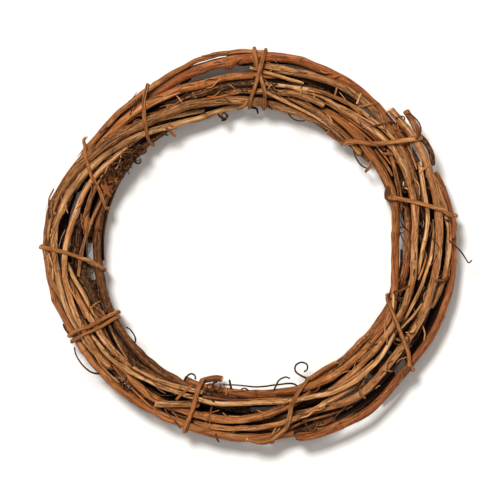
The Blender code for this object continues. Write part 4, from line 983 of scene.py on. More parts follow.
def shape_of(bark, **changes):
    """A bark's shape as named values."""
    look = dict(zip(("ridge", "lump", "worn", "dark", "furrow"), BARK_SHAPES[bark]))
    look.update(changes)
    return look


def node_places(length, draw):
    """Runs at which a cane has its nodes, NODE_RUNS apart."""
    places = np.cumsum(draw.uniform(*NODE_RUNS, 24)) - draw.uniform(5, 40)
    return places[(places > 8) & (places < length - 8)]


def fine_cane(row, name, solved, draw):
    """A cane's fine line, half thicknesses and swellings, in ring millimetres. The line is the CAD's
    cane read smoothly, bent a little to and fro between its nodes and wandering by slow waves."""
    place, thick, _, spans = solved
    slices = spans[row]
    at = slices % SLICES
    rows = np.column_stack((place[row, at], thick[row, at], slices * STEP))
    where = np.linspace(0, len(slices) - 1, int(len(slices) * FINE_STEPS))
    fine = read_smoothly(rows, where)
    line = to_space(np.column_stack((fine[:, 0], fine[:, 3], fine[:, 1])))
    run = runs_along(line)
    nodes = node_places(run[-1], draw)
    sideways = 0 * run
    if len(nodes):
        sideways = np.interp(run, nodes, NODE_BEND * (-1.0) ** np.arange(len(nodes)))
    upways = 0 * run
    for wave in draw.uniform(16, 70, 4):
        sideways = sideways + WANDER_ASIDE * np.sin(run * 2 * math.pi / wave + draw.uniform(0, 6.3))
        upways = upways + WANDER_UP * np.sin(run * 2 * math.pi / wave + draw.uniform(0, 6.3))
    radial = np.stack((np.cos(np.radians(fine[:, 3])), np.sin(np.radians(fine[:, 3])), 0 * run), -1)
    line = line + sideways[:, None] * radial + upways[:, None] * np.array((0, 0, 1))
    swellings = [(v, draw.uniform(0.25, 0.5) * fine[:, 2].mean() * 0.45, draw.uniform(2, 3.2),
                  draw.uniform(0, 6.3), draw.uniform(1.2, 3)) for v in nodes]
    for angle, height, length, facing in CANE_NODES.get(name, ()):
        near = np.argmin(np.abs(np.mod(fine[:, 3] - angle + 180, 360) - 180))
        swellings.append((run[near], height, length, facing, 1.8))
    return line, fine[:, 2] * UNDER_BARK, swellings


def end_kinds(name):
    """Cut where the cane's end lies open near the top of the bundle, tucked where it runs under."""
    stations = sorted(CANES[name][3])
    low, high = ["cut" if s[2] < 0.3 else "tuck" for s in (stations[0], stations[-1])]
    return ("tuck" if name in TUCKED_LOW else low), high


def loose_strips(line, halves, draw, count, look):
    """Strips of bark that part from a cane: each is a flat section carried along the cane's face and
    lifting off it towards one end, by a height that grows with the cube of the run."""
    run = runs_along(line)
    strips = []
    for _ in range(count):
        length = draw.uniform(9, 34)
        start = draw.uniform(2, max(3, run[-1] - length - 2))
        v = np.linspace(start, min(start + length, run[-1] - 1), 10)
        centre = read_along(v, run, line)
        way = unit(np.gradient(centre, axis=0))
        side = unit(np.cross(way, (0, 0, 1)))
        up = np.cross(side, way)
        turn = draw.uniform(0.1, 3.0) + np.linspace(0, draw.uniform(-0.5, 0.5), len(v))
        share = np.linspace(0, 1, len(v))
        share = share if draw.random() < 0.5 else share[::-1]
        lift = 0.12 + draw.uniform(0.2, 2.2) * share ** 3
        half = np.interp(v, run, halves)
        out = np.cos(turn)[:, None] * side + np.sin(turn)[:, None] * up
        middle = centre + (half + lift)[:, None] * out
        wide = draw.uniform(0.35, 0.8) * np.sqrt(np.clip(1 - (2 * share - 1) ** 4, 0.04, 1))
        strips.append(carried_section(middle, wide, STRIP_FACETS, TUCKED, look, draw, reference=out,
                                      spacing=3.0, flat=0.28))
    return strips


# Ties whose tails are drawn darker, and by how much
DARK_TAILS = {"tie_lower_right": 0.5, "tie_bottom_left": 0.4, "tie_upper_right": 0.2}


def growth_surfaces(solved, tie_paths):
    """Side growths by parent: twigs, stubs and tendrils along smooth curves, rooted in the parent."""
    made = {}
    for count, (parent, root, tip, points) in enumerate(GROWTHS):
        draw = np.random.default_rng(SEEDS["growths"] + count)
        start = root_of(parent, *points[0], solved, tie_paths)
        level = BUNDLE_MID_HEIGHT if parent in tie_paths else start[2]
        pull = TIE_TAIL_PULL if parent in tie_paths else 0
        raised = [(r - pull * np.sign(r - BUNDLE_RADIUS), a, level + h) for a, r, h in points[1:]]
        curve = soft_curve(to_space([start] + raised), 0.6)
        thin = root < TENDRIL_BELOW
        darkness = 0.65 if thin else DARK_TAILS.get(parent, 0.0)
        look = shape_of("dark" if thin else "tie", ridge=0.02, dark=darkness)
        halves = np.linspace(root, tip, len(curve)) / 2 * (TIE_THINNER if thin else 1.0)
        kinds = ("tuck", "tuck" if thin else "cut")
        made.setdefault(parent, []).append(carried_section(
            curve, halves, TWIG_FACETS if thin else HIDDEN_FACETS, kinds, look, draw, ASLANT,
            spacing=0.7, slant=0.0 if thin else 0.3))
    return made


# Strips of loose bark on each cane that sheds
SHEDDING = {
    "shaggy_cane": 44, "dark_cane": 34, "brown_left_cane": 22, "streaked_cane": 14,
    "orange_inner_cane": 12, "tan_middle_cane": 12, "outer_left_cane": 8, "thick_top_cane": 6,
    "tan_right_cane": 12, "orange_lower_cane": 8, "brown_inner_cane": 14, "pale_cane": 6,
    "dark_thin_lower_cane": 8, "inside_outer_cane": 20, "inside_inner_cane": 20,
    "second_right_cane": 6, "tan_left_upper_cane": 5,
}

# Canes lighter than their bark, as a share
TONES = {"brown_inner_cane": 0.6, "thick_top_cane": 0.35, "outer_right_cane": 0.1}
# Canes whose end at the lower angle runs under a tie, and canes that lie under or inside the bundle
TUCKED_LOW = ("outer_right_cane",)
HIDDEN = ("under_inner_cane", "under_middle_cane", "under_outer_cane", "inside_outer_cane",
          "inside_inner_cane")


def dress_canes(solved, growths, finishes):
    """Each cane in its bark, with its loose strips and side growths, in place of the CAD's node."""
    for row, (name, (bark, _, _, _)) in enumerate(CANES.items()):
        draw = np.random.default_rng(SEEDS["canes"] + row)
        line, halves, swellings = fine_cane(row, name, solved, draw)
        hidden = name in HIDDEN
        look = shape_of(bark)
        sides = HIDDEN_FACETS if hidden or halves.max() < 1.6 else CANE_FACETS
        # Painted shade: each cane is darkened in the grooves and pits where it lies among other canes
        surfaces = [carried_section(
            line, halves, sides, end_kinds(name), look, draw, swellings=swellings,
            spacing=HIDDEN_RINGS if hidden else CANE_RINGS, slant=0.35,
            shade=lambda points: crevice_shade(points, row, solved))]
        shed = shape_of(bark, worn=0.7, ridge=0.02)
        surfaces += loose_strips(line, halves, draw, SHEDDING.get(name, 2), shed)
        surfaces += growths.get(name, [])
        tone = TONES.get(name, draw.uniform(-0.2, 0.2))
        make_piece("bark_" + name, surfaces, bark, finishes, tone, name)


def drawn_in(path):
    """A tie's path brought nearer to the bundle: each point moves TIE_PULL towards the middle of the
    span that the path takes in radius and height."""
    path = np.asarray(path, dtype=float)
    middle = (path[:, (0, 2)].min(0) + path[:, (0, 2)].max(0)) / 2
    way = unit(middle - path[:, (0, 2)])
    moved = path.copy()
    moved[:, 0] += TIE_PULL * way[:, 0]
    moved[:, 2] += TIE_PULL * way[:, 1]
    return moved


def dress_ties(solved, tie_paths, growths, finishes):
    """Each tie in its bark along its drawn-in path, swaying a little, in place of the CAD's node."""
    for row, (name, path) in enumerate(tie_paths.items()):
        draw = np.random.default_rng(SEEDS["ties"] + row)
        line = soft_curve(to_space(path), 0.7)
        angles = np.radians(soft_curve(path, 0.7)[:, 1])
        angles = np.interp(np.linspace(0, 1, len(line)), np.linspace(0, 1, len(angles)), angles)
        facing = np.stack((-np.sin(angles), np.cos(angles), 0 * angles), -1)
        run = runs_along(line)
        nodes = node_places(run[-1], draw)
        half = TIE_THINNER * TIES[name][0] / 2
        halves = half * (1 + 0.05 * np.sin(run / 9 + row) + 0.03 * np.sin(run / 4.1 + 2 * row))
        swellings = [(v, 0.3 * half, 2.2, draw.uniform(0, 6.3), 2.0) for v in nodes]
        sway = 0.4 * np.sin(run / draw.uniform(4, 7) + draw.uniform(0, 6.3))
        line = line + sway[:, None] * facing
        # Painted shade: each tie is darkened where it presses on the canes
        surfaces = [carried_section(
            line, halves, TIE_FACETS, ("cut", "cut"), shape_of(TIE_BARK), draw, facing, swellings, 0.9,
            shade=lambda points: crevice_shade(points, -1, solved))]
        surfaces += growths.get(name, [])
        make_piece("bark_" + name, surfaces, TIE_BARK, finishes, draw.uniform(-0.1, 0.12), name)


# Curled dead tendrils and shreds in the bundle's hollows: angle, radius, height, loop radius, turns,
# rise from first to last, thickness
CURLS = (
    (152, 118, 33, 3.6, 1.1, 4, 1.3), (148.5, 114.5, 33, 4.2, 1.2, -3, 1.5),
    (146, 110, 31, 3.4, 1.0, 5, 1.2), (143, 112, 34, 3.8, 1.3, -4, 1.2),
    (140, 108.5, 31, 3.2, 1.1, 3, 1.5), (137.5, 107, 30, 4.0, 0.9, 4, 1.6),
    (154, 114, 31, 3.0, 1.2, 3, 1.2), (150, 110.5, 28, 4.4, 0.8, -3, 1.6),
    (141.5, 104.5, 26, 3.2, 0.9, 3, 1.7), (101, 99, 22, 3.0, 1.2, 3, 1.5),
    (112.5, 120, 33, 2.8, 0.9, 2, 1.1), (97.5, 119, 31, 2.6, 0.8, 3, 1.1),
    (92, 117, 33, 2.6, 0.7, 2, 1.1), (83, 120, 33, 3.0, 1.0, -3, 1.3),
    (81, 119, 34, 3.2, 0.9, 3, 1.4), (228, 134, 30, 3.4, 1.2, 3, 1.2),
    (225, 133, 29, 4.2, 1.0, -3, 1.2), (330, 131, 34, 3.0, 1.1, 3, 1.1),
    (328, 127, 36, 3.2, 1.2, -3, 1.1), (333, 132.5, 33, 3.0, 0.9, 2, 1.0),
    (331, 123, 37, 2.8, 1.0, 2, 1.1), (291, 137, 24, 5.4, 0.6, 4, 1.6),
    (289, 134, 25, 4.6, 0.7, -3, 1.4), (23, 122.5, 31, 3.2, 1.1, 3, 1.5),
    (21, 121.5, 32, 2.8, 0.9, -3, 1.3), (343, 112, 33, 3.0, 1.1, 3, 1.4),
    (341.5, 109.5, 31, 2.8, 1.0, -2, 1.4), (256.5, 103, 28, 3.6, 0.9, 3, 1.8),
    (254, 105, 30, 3.2, 1.1, -3, 1.4), (7, 112, 27, 2.6, 0.8, 2, 1.2),
)


def curl_line(angle, radius, height, size, turns, rise, start, tilt):
    """A coil on a tilted axis: a circle that shrinks by a third from first to last, while it rises."""
    share = np.linspace(0, 1, max(16, int(turns * 30)))
    swing = start + share * turns * 2 * math.pi
    loop = size * (1 - 0.33 * share)
    flat = np.stack((loop * np.cos(swing), loop * np.sin(swing), rise * (share - 0.5)), -1)
    lean = np.array(((1, 0, 0), (0, math.cos(tilt), -math.sin(tilt)),
                     (0, math.sin(tilt), math.cos(tilt))))
    spin = math.radians(angle)
    round_ring = np.array(((math.cos(spin), -math.sin(spin), 0), (math.sin(spin), math.cos(spin), 0),
                           (0, 0, 1)))
    middle = to_space([(radius, angle, height)])[0]
    return middle + flat @ lean.T @ round_ring.T


def dress_curls(finishes):
    """All the curled tendrils and shreds as one piece."""
    surfaces = []
    for count, (angle, radius, height, size, turns, rise, thick) in enumerate(CURLS):
        draw = np.random.default_rng(SEEDS["curls"] + count)
        line = curl_line(angle, radius, height, size, turns, rise, draw.uniform(0, 6.3),
                         draw.uniform(-0.7, 0.7))
        halves = np.linspace(thick, 0.6 * thick, len(line)) / 2
        look = shape_of("dark", dark=0.35, ridge=0.05, lump=0.08)
        surfaces.append(carried_section(line, halves, TWIG_FACETS, TUCKED, look, draw, ASLANT,
                                        spacing=0.8))
    make_piece("curled_shreds", surfaces, "dark", finishes)


# Twigs that cross the canes, read off the photograph: bark, thickness, and points as (angle,
# radius in the photograph's pixels)
TWIG_MM_PER_PIXEL = 0.7304
TWIGS = (
    ("red", 2.0, (57, 162.5), (50, 163.5), (43, 165.5), (36, 166.5)),
    ("orange", 1.6, (52, 160.5), (45, 161.5), (38, 163), (31, 164)),
    ("grey", 2.2, (39, 159.5), (33, 159.8), (27, 160)),
    ("brown", 1.5, (46, 167), (41, 168), (36, 168)),
    ("dark", 4.2, (33.3, 202.5), (31.2, 205.4), (28.6, 205.2), (26.2, 203), (24.4, 200.8)),
    ("brown", 2.2, (34, 205), (31, 207), (28, 205.5)),
    ("tan", 1.8, (78, 166.5), (71, 166), (64, 168), (57, 167)),
    ("orange", 1.7, (108, 156), (101, 155), (94, 156.5)),
    ("pale", 1.3, (115.6, 170.5), (115.2, 166), (114.8, 160.5)),
    ("tan", 1.2, (110.2, 167), (110, 163), (109.6, 160)),
    ("pale", 1.2, (97.3, 166), (96.2, 163), (95.3, 160.5)),
    ("brown", 1.4, (99.9, 154), (98.6, 150), (97.2, 146)),
    ("orange", 2.6, (95.5, 140.5), (93.5, 142), (91.8, 145), (90.8, 149)),
    ("dark", 1.3, (72.9, 174), (72.5, 170.5), (72.2, 168)),
    ("pale", 1.4, (72.4, 168), (72, 165), (71.6, 161.5)),
    ("tan", 1.4, (61.8, 183), (61.4, 179), (61, 174)),
    ("pale", 1.0, (68, 168.5), (67.4, 166.5), (67, 164.5)),
    ("pale", 1.2, (83.8, 160), (82.8, 164.5), (82.2, 165.7), (81.6, 164), (81.2, 159.5)),
    ("dark", 1.6, (88.7, 173), (88.4, 170), (88.3, 166.5)),
    ("dark", 1.7, (84, 149), (82.4, 144), (80.8, 141)),
    ("tan", 1.7, (89.8, 193), (88.8, 187), (87.8, 181)),
    ("orange", 1.6, (153, 163), (152.4, 158.5), (153.5, 154), (155.5, 150.5)),
    ("orange", 2.2, (156.6, 161), (157.4, 156.5), (156.3, 152.5), (154, 150.3)),
    ("dark", 1.5, (152, 164), (150.5, 161.5), (149.5, 157.5), (151, 154.5)),
    ("brown", 1.4, (149, 161), (147.3, 158.5), (146.2, 155), (147.5, 152.5)),
    ("dark", 1.6, (146.5, 160), (144.5, 157.5), (143.5, 154), (141.5, 152.5)),
    ("brown", 1.5, (143.8, 160), (142, 157), (140.8, 153.5), (142.2, 150.5)),
    ("dark", 1.8, (140.5, 156), (139, 152), (138.2, 148), (139.5, 145.5)),
    ("brown", 1.9, (138.8, 153), (137, 149), (136.2, 145.5), (138, 143.5), (139.6, 146)),
    ("tan", 1.2, (154.5, 166), (152, 163.5), (149.5, 164.5), (147.5, 162)),
    ("pale", 1.1, (151, 160.5), (148.5, 156), (145.5, 157.5), (143.5, 160)),
    ("orange", 2.2, (124.9, 149), (124.2, 143.5), (123.7, 138), (123.3, 134.5)),
    ("orange", 1.7, (123.4, 149), (122.2, 144.5), (121.3, 141)),
    ("dark", 1.6, (127, 145.5), (126.3, 142), (125.6, 140)),
    ("dark", 2.4, (160.5, 153), (162.5, 151.2), (164.8, 151), (166.4, 152.4)),
    ("dark", 1.3, (229.5, 188.5), (228, 184), (226.3, 181), (224.8, 184), (223.5, 188)),
    ("tan", 1.2, (227.3, 179.5), (225, 183), (223.4, 186.5)),
    ("pale", 1.0, (200.4, 169.5), (199.5, 164), (199.2, 158)),
    ("dark", 1.7, (190.7, 166), (189, 162), (188, 157.5)),
    ("brown", 1.6, (204.5, 160), (203, 156), (202, 151.5), (201.2, 148.8)),
    ("pale", 1.3, (226.5, 186.5), (222.5, 187.8), (218, 188.5), (214.5, 187.5)),
    ("tan", 1.3, (222, 164.5), (216, 162.5), (210, 160.5)),
    ("brown", 1.8, (291.6, 185), (290.3, 190.5), (289, 192), (288, 188), (287.6, 182)),
    ("tan", 1.6, (279.6, 181), (278, 185.5), (276.8, 188)),
    ("pale", 1.5, (278.4, 180), (277.3, 184.5), (276.6, 187.5)),
    ("pale", 1.3, (297, 171.5), (294, 175), (291.5, 173.5), (289, 176.2), (286, 175.5)),
    ("tan", 1.2, (295.5, 175.5), (292.5, 172), (289.5, 173.5), (286.5, 172)),
    ("dark", 1.3, (266, 182), (263.8, 184.5), (262.8, 181)),
    ("tan", 1.3, (258.2, 186), (256.8, 182), (255.4, 178.5)),
    ("brown", 1.6, (257, 178.5), (256.6, 172), (256.3, 166), (256.5, 162)),
    ("orange", 2.3, (243.8, 168.5), (244.6, 161), (245.6, 155), (246.9, 148.5)),
    ("grey", 1.5, (260.8, 148.5), (260.6, 144.5), (260.4, 140.5)),
    ("dark", 1.5, (257, 157), (254.6, 154.5), (252.6, 156.5)),
    ("dark", 1.6, (257, 151), (255, 147.5), (253.5, 146), (252, 148.5), (253, 151.5)),
    ("dark", 1.4, (260.9, 195.5), (259.9, 191.5), (259.5, 187)),
    ("brown", 2.6, (354.5, 200), (352, 199.5), (350.7, 196), (350.4, 191), (350.2, 186.5)),
    ("pale", 1.2, (336, 189), (334.2, 194), (332, 197)),
    ("pale", 1.2, (336, 180.5), (334.5, 182.5), (332.8, 181), (331.8, 176)),
    ("tan", 1.3, (330.3, 180), (328.7, 176), (328.2, 171.5)),
    ("pale", 1.9, (342.5, 180.5), (338, 176.5), (334.5, 172.5), (331.5, 170)),
    ("brown", 2.0, (347, 163.5), (345.2, 158), (343.8, 153.5)),
    ("dark", 1.6, (342.4, 161), (341.4, 157), (340.8, 153)),
    ("pale", 2.0, (343, 150), (339, 153), (336, 156.5), (333.5, 160)),
    ("pale", 1.2, (319.4, 188), (318.6, 184), (317.8, 179)),
    ("brown", 2.2, (307.7, 189), (307.3, 183.5), (307.7, 178.5)),
    ("dark", 1.5, (313.8, 178), (311.5, 173), (309.5, 171.2), (308.3, 175), (309, 179.5)),
    ("dark", 1.7, (323.5, 159), (321.8, 155), (322.3, 150.5)),
    ("tan", 2.0, (54.5, 191), (54, 185.5), (53.7, 179.5)),
    ("tan", 2.4, (53, 177.5), (51.2, 183.5), (49.6, 189.5)),
    ("brown", 1.7, (45.4, 172), (43.8, 179), (42.3, 187), (41.6, 193)),
    ("dark", 1.2, (41.9, 195), (41.4, 200.5), (40.5, 202.8), (39.6, 200.5)),
    ("tan", 1.4, (46.5, 188), (44, 184.5), (41.8, 180.5)),
    ("pale", 2.0, (25.2, 198), (24.8, 191.5), (24.2, 185)),
    ("tan", 2.2, (35.8, 163), (34.6, 167.5), (33.5, 171.5)),
    ("tan", 1.5, (33.5, 188.5), (29.5, 186.5), (25.5, 184.5)),
    ("brown", 1.6, (33, 185.5), (29, 183.5), (25, 181.5)),
    ("pale", 1.0, (24.5, 168.5), (22.2, 166), (20.3, 169.5)),
    ("brown", 1.6, (9.4, 206), (8.1, 201.5), (8.7, 197)),
    ("brown", 4.4, (24.6, 152), (22.9, 148.8), (21.2, 147), (19.6, 148.8), (18.8, 152.5)),
    ("orange", 1.8, (36.3, 150), (34.7, 146), (33.9, 142), (33.7, 138)),
    ("red", 1.5, (34.9, 147.5), (34.3, 144), (35, 141)),
    ("pale", 1.2, (60.5, 155), (58.6, 153.5), (57, 151)),
    ("tan", 1.5, (15, 174), (11, 171), (6, 166.5), (2.5, 164.5)),
    ("orange", 1.7, (70, 171), (63, 173.5), (57, 175), (50, 173.5)),
    ("tan", 1.6, (62, 167), (56, 170), (50, 172.5), (44, 176)),
    ("brown", 1.6, (30, 165), (25, 162), (19, 158)),
    ("orange", 1.5, (357, 176), (353, 173.5), (349.5, 171)),
    ("tan", 1.5, (318, 166), (312, 165), (305, 163.5), (299, 160.5)),
    ("brown", 1.7, (300, 186), (295, 183), (288, 181), (281, 184)),
    ("tan", 1.4, (272, 179), (265, 181.5), (259, 183), (252, 182.5)),
    ("orange", 1.6, (238, 186), (232, 183.5), (226, 181), (220, 179.5)),
    ("brown", 1.5, (219, 168.5), (213, 167), (207, 165.5), (200, 166.5)),
    ("tan", 1.5, (203, 178), (197, 180), (192, 184), (187, 186)),
    ("brown", 1.6, (186, 170), (181, 167), (175, 164), (169, 163)),
    ("tan", 1.5, (134, 178), (128, 175.5), (121, 173), (114, 171)),
    ("brown", 1.6, (120, 162), (113, 164), (107, 163), (101, 165)),
)


def wood_top(angle, radius, solved):
    """Height of the bundle's upper surface at places: the highest cane there, each one a circle in
    section and, beside the circle, falling away as steeply as the distance from it."""
    place, thick, present = solved[:3]
    at = np.round(angle / STEP).astype(int) % SLICES
    aside = np.abs(place[:, at, 0] - radius)
    half = thick[:, at]
    round_part = np.sqrt(np.clip(half ** 2 - aside ** 2, 0, None))
    level = place[:, at, 1] + round_part - np.clip(aside - half, 0, None)
    return np.where(present[:, at], level, 0).max(0)


# Where small dry shreds gather: angles, radii, how many, barks, length, thickness, how far they
# turn from the canes' way in radians
SHRED_ZONES = (
    ((147, 157), (111.5, 118), 28, ("dark", "brown", "dark", "orange"), (4, 12), 1.3, 1.2),
    ((138, 149), (106.5, 113), 34, ("dark", "brown", "dark"), (4, 11), 1.3, 1.2),
    ((151, 159), (110, 117.5), 18, ("orange",), (5, 10), 1.9, 1.3),
    ((166, 186), (142, 149.5), 30, ("grey", "dark", "tan"), (6, 20), 1.3, 0.25),
    ((0, 360), (112, 141), 190, ("brown", "tan", "dark", "orange"), (4, 16), 0.85, 0.5),
)


def twig_routes():
    """Bark, thickness and route of each twig, with its radii turned from pixels to tenths of a mm."""
    return [(bark, thick, [(angle, round(radius * TWIG_MM_PER_PIXEL, 1)) for angle, radius in points])
            for bark, thick, *points in TWIGS]


def shred_routes():
    """Routes for the shreds: each a short bow about a place in its zone."""
    draw = np.random.default_rng(SEEDS["shreds"])
    routes = []
    for angles, radii, count, barks, lengths, thick, turn in SHRED_ZONES:
        for _ in range(count):
            angle = draw.uniform(*angles)
            radius = draw.uniform(*radii)
            way = draw.uniform(-turn, turn)
            half = draw.uniform(*lengths) / 2
            bow = draw.uniform(-0.45, 0.45) * half
            out, along = half * math.sin(way), math.degrees(half * math.cos(way) / radius)
            points = ((angle - along, radius - out),
                      (angle + math.degrees(bow * math.sin(way) / radius), radius + bow * math.cos(way)),
                      (angle + along, radius + out))
            routes.append((barks[draw.integers(len(barks))], thick * draw.uniform(0.6, 1.3), points))
    return routes


def neighbours(values, reach):
    """Each value's neighbours, as far as reach on both sides, one row for each step."""
    padded = np.pad(values, reach, mode="edge")
    return np.stack([padded[k:k + len(values)] for k in range(2 * reach + 1)])


def dress_twigs(solved, finishes):
    """Twigs lie on the canes: their line keeps to the wood's top, evened out over its neighbours."""
    by_bark = {}
    for count, (bark, thick, route) in enumerate(twig_routes() + shred_routes()):
        draw = np.random.default_rng(SEEDS["twigs"] + count)
        flat = soft_curve(np.array([(r, a, 0) for a, r in route], dtype=float), 0.35)
        level = wood_top(flat[:, 1], flat[:, 0], solved)
        spans = neighbours(level, 5)
        level = neighbours(0.6 * spans.max(0) + 0.4 * spans.mean(0), 5).mean(0)
        line = to_space(np.column_stack((flat[:, 0], flat[:, 1], level + 0.25 * thick)))
        share = np.linspace(-1, 1, len(line))
        halves = thick / 2 * (1 - 0.35 * share ** 4)
        look = shape_of(bark, ridge=0.05, lump=0.06)
        by_bark.setdefault(bark, []).append(carried_section(
            line, halves, TWIG_FACETS, TUCKED, look, draw, ASLANT, spacing=0.9))
    for bark, surfaces in by_bark.items():
        make_piece("twigs_" + bark, surfaces, bark, finishes)


# Places where the floor shows through the bundle: angles and radii
SEE_THROUGH = (
    (89, 108, 129, 133.5), (69, 85, 134.5, 139), (44, 58, 131.5, 136.5), (183, 198, 142, 146),
    (162, 172, 131, 135), (340, 356, 138, 141.5), (301, 313, 126, 131), (271, 279, 115.5, 119.5),
    (282, 291, 111.5, 115.5), (285, 293, 121.5, 124.5), (292, 301, 105, 109.5),
    (179, 190, 115.5, 119.5), (225, 229, 133, 136), (1, 10, 111, 114.5),
)


def seen_through(angles, radii, margin):
    """Whether places lie in, or within a margin of, one where the floor shows."""
    seen = False
    for start, end, least, most in SEE_THROUGH:
        turned = (angles >= start) & (angles <= end)
        seen = seen | (turned & (radii >= least - margin) & (radii <= most + margin))
    return seen


def hollows(solved):
    """Whether each place of a grid, each degree and each millimetre of radius, is neither under a
    cane nor where the floor shows, and lies inside the bundle."""
    place, thick, present = solved[:3]
    angles = np.arange(360)
    radii = np.arange(HOLLOWS_FROM, HOLLOWS_TO)
    at = angles / STEP
    low = np.floor(at).astype(int)
    high = (low + 1) % SLICES
    t = at - low
    middle = place[:, low, 0] * (1 - t) + place[:, high, 0] * t
    half = thick[:, low] * (1 - t) + thick[:, high] * t
    there = present[:, low] & present[:, high]
    inner = np.where(there, middle - half, 999).min(0)
    outer = np.where(there, middle + half, 0).max(0)
    aside = np.abs(radii[None, :, None] - middle[:, None])
    open_sky = ~((aside < half[:, None]) & there[:, None]).any(0)
    inside = (radii[:, None] > inner + 1.5) & (radii[:, None] < outer - 1.5)
    return open_sky & inside & ~seen_through(angles[None], radii[:, None], 1)


def dress_hollows(solved, finishes):
    """Old stems deep in the bundle, in the dark bark: partly their own dry colour, partly painted shade
    of the bundle's depths. Each starts at an empty place of the grid and follows the hollow both
    ways, a degree at a time, towards the nearest empty radius."""
    wanted = hollows(solved)
    draw = np.random.default_rng(SEEDS["hollows"])
    surfaces = []
    for _ in range(OLD_STEMS):
        places = np.argwhere(wanted)
        if len(places) < 20:
            break
        first = places[draw.integers(len(places))]
        halves_of_route = []
        for way in (1, -1):
            radius, angle = float(first[0]), int(first[1])
            steps = []
            while len(steps) < 40:
                column = np.flatnonzero(wanted[:, angle % 360])
                column = column[np.abs(column - radius) < 3.5]
                if not len(column):
                    break
                aim = column[np.abs(column - radius).argmin()]
                radius = radius + np.clip(aim - radius, -0.6, 0.6)
                steps.append((radius + HOLLOWS_FROM, float(angle)))
                angle += way
            halves_of_route.append(steps)
        route = np.array(halves_of_route[1][::-1] + halves_of_route[0][1:])
        for radius, angle in route:
            at = int(round(radius)) - HOLLOWS_FROM
            wanted[max(0, at - 1):at + 2, int(angle) % 360] = False
        if len(route) < 4:
            continue
        thick = draw.uniform(1.8, 3.0)
        level = draw.uniform(11, 19) + 2 * np.sin(route[:, 1] / draw.uniform(8, 14))
        knots = np.linspace(0, len(route) - 1, max(3, len(route) // 3)).round().astype(int)
        line = soft_curve(to_space(np.column_stack((route, level)))[knots], 1.2)
        halves = np.full(len(line), thick / 2)
        surfaces.append(carried_section(line, halves, TWIG_FACETS, TUCKED,
                                        shape_of("dark", ridge=0.05), draw, spacing=2.2))
    make_piece("old_stems", surfaces, "dark", finishes)


def eased(values, keep):
    """Each value but the first and last drawn towards its neighbours' mean."""
    ends = np.concatenate((values[:1], values, values[-1:]))
    return keep * values + (1 - keep) * (ends[:-2] + ends[2:]) / 2


def longest_stretch(wanted):
    """Places of the longest unbroken row of wanted ones."""
    rows = np.split(np.arange(len(wanted)), np.flatnonzero(np.diff(wanted)) + 1)
    rows = [row for row in rows if wanted[row[0]]]
    return max(rows, key=len, default=[])


def dress_filling(solved, finishes):
    """Stems that fill the bundle's height, so that its sides aren't open. Each runs under a seen
    cane, between the floor and that cane, and is pushed clear of the canes and of earlier stems."""
    place, thick, present, spans = solved
    draw = np.random.default_rng(SEEDS["filling"])
    surfaces = []
    for _ in range(FILLING_STEMS):
        row = int(draw.integers(len(spans)))
        slices = spans[row]
        count = min(len(slices), int(draw.integers(7, 20)))
        first = int(draw.integers(0, len(slices) - count + 1))
        run = slices[first:first + count]
        at = run % SLICES
        guide = place[row, at, 0] + draw.uniform(-1.5, 1.5)
        top = place[row, at, 1] - thick[row, at] - 2
        half = draw.uniform(1.0, 1.9)
        if top.mean() < 9:
            continue
        radius = guide + 1.0 * np.sin(run / draw.uniform(1.5, 4))
        level = 3 + draw.uniform(0.05, 0.95) * (top - 3) + 1.2 * np.sin(run / draw.uniform(1.5, 4))
        for _ in range(14):
            across = radius - place[:, at, 0]
            above = level - place[:, at, 1]
            apart = np.maximum(np.hypot(across, above), 0.01)
            push = np.clip(thick[:, at] + half + 0.15 - apart, 0, 2) * present[:, at] / apart
            radius = eased(radius + 0.4 * (push * across).sum(0), 0.6)
            radius = np.clip(radius, guide - 2.5, guide + 2.5)
            level = np.clip(eased(level + 0.4 * (push * above).sum(0), 0.6), half + 0.3, top + 1)
        kept = longest_stretch(~seen_through(run * STEP % 360, radius, half))
        if len(kept) < 5:
            continue
        radius, level, run, at = radius[kept], level[kept], run[kept], at[kept]
        layer = np.zeros((1, SLICES, 2))
        layer[0, at] = np.column_stack((radius, level))
        place = np.concatenate((place, layer))
        thick = np.vstack((thick, np.full(SLICES, half)))
        present = np.vstack((present, np.isin(np.arange(SLICES), at)))
        line = soft_curve(to_space(np.column_stack((radius, run * STEP, level))), 2.0)
        halves = half * (1 + 0.08 * np.sin(runs_along(line) / draw.uniform(5, 12)))
        # Painted shade: the stems are darkened in the grooves and pits among the canes, at seven tenths
        surfaces.append(carried_section(
            line, halves, TWIG_FACETS, ("cut", "cut"), shape_of("brown"), draw, spacing=3.0,
            shade=lambda points: 0.7 * crevice_shade(points, -1, solved)))
    make_piece("filling_stems", surfaces, "brown", finishes, 0.05)


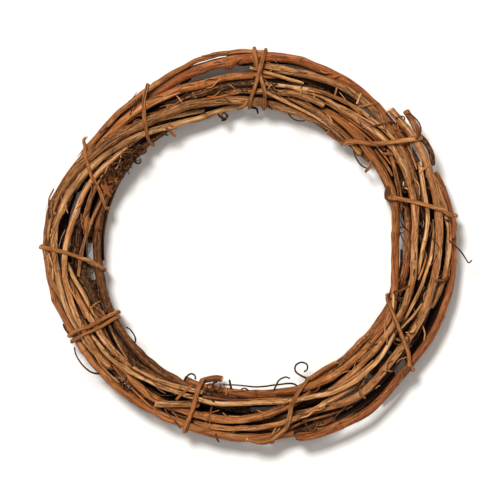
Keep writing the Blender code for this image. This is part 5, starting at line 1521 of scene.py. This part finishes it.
def light_and_floor():
    """A pale floor, an even sky and one soft key light from the upper left, high up."""
    scene = bpy.context.scene
    world = bpy.data.worlds.new("soft_studio")
    world.use_nodes = True
    sky = world.node_tree.nodes["Background"]
    sky.inputs["Color"].default_value = (*SKY_COLOUR, 1)
    sky.inputs["Strength"].default_value = SKY_STRENGTH
    scene.world = world
    key = bpy.data.lights.new("key", "SUN")
    key.energy = KEY_STRENGTH
    key.angle = math.radians(KEY_SOFTNESS)
    key.color = KEY_COLOUR
    lamp = bpy.data.objects.new("key", key)
    lamp.rotation_euler = (math.radians(90 - KEY_ELEVATION), 0, math.radians(KEY_AZIMUTH + 90))
    scene.collection.objects.link(lamp)
    floor_mesh = bpy.data.meshes.new("floor")
    corners = [(-FLOOR, -FLOOR, 0), (FLOOR, -FLOOR, 0), (FLOOR, FLOOR, 0), (-FLOOR, FLOOR, 0)]
    floor_mesh.from_pydata(corners, [], [(0, 1, 2, 3)])
    floor = bpy.data.objects.new("floor", floor_mesh)
    scene.collection.objects.link(floor)
    f = Finish("floor_paint")
    f.feed(f.shader.inputs["Base Color"], FLOOR_COLOUR)
    f.feed(f.shader.inputs["Roughness"], FLOOR_ROUGHNESS)
    floor.data.materials.append(f.material)
    scene.view_settings.view_transform = "Standard"


def place_camera():
    """A long lens straight above the point that the photograph is centred on."""
    lens = bpy.data.cameras.new("camera")
    lens.sensor_width = SENSOR_WIDTH
    lens.lens = SENSOR_WIDTH * (CAMERA_HEIGHT - LEVEL_IN_FOCUS) / FRAME_WIDTH
    lens.clip_end = 4 * CAMERA_HEIGHT
    camera = bpy.data.objects.new("camera", lens)
    camera.location = (*CAMERA_POINT, CAMERA_HEIGHT)
    bpy.context.scene.collection.objects.link(camera)
    bpy.context.scene.camera = camera


def build_looks():
    """Everything in order: view, light, canes, ties, then what lies on and in the bundle."""
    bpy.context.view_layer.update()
    place_camera()
    light_and_floor()
    finishes = {bark: bark_finish(SLOT_OF[bark], *look) for bark, look in BARK_LOOKS.items()}
    solved = space_canes()
    tie_paths = {}
    for name, (wide, below, strands) in TIES.items():
        tie_paths[name] = drawn_in(tie_path(*solved[:3], wide / 2, below, strands))
    growths = growth_surfaces(solved, tie_paths)
    dress_canes(solved, growths, finishes)
    dress_ties(solved, tie_paths, growths, finishes)
    dress_curls(finishes)
    dress_twigs(solved, finishes)
    dress_hollows(solved, finishes)
    dress_filling(solved, finishes)


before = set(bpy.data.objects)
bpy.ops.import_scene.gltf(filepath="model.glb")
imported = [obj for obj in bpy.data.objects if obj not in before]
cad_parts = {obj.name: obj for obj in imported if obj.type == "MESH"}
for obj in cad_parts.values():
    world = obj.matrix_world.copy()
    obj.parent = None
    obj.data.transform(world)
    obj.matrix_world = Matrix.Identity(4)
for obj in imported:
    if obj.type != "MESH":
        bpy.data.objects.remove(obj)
build_looks()
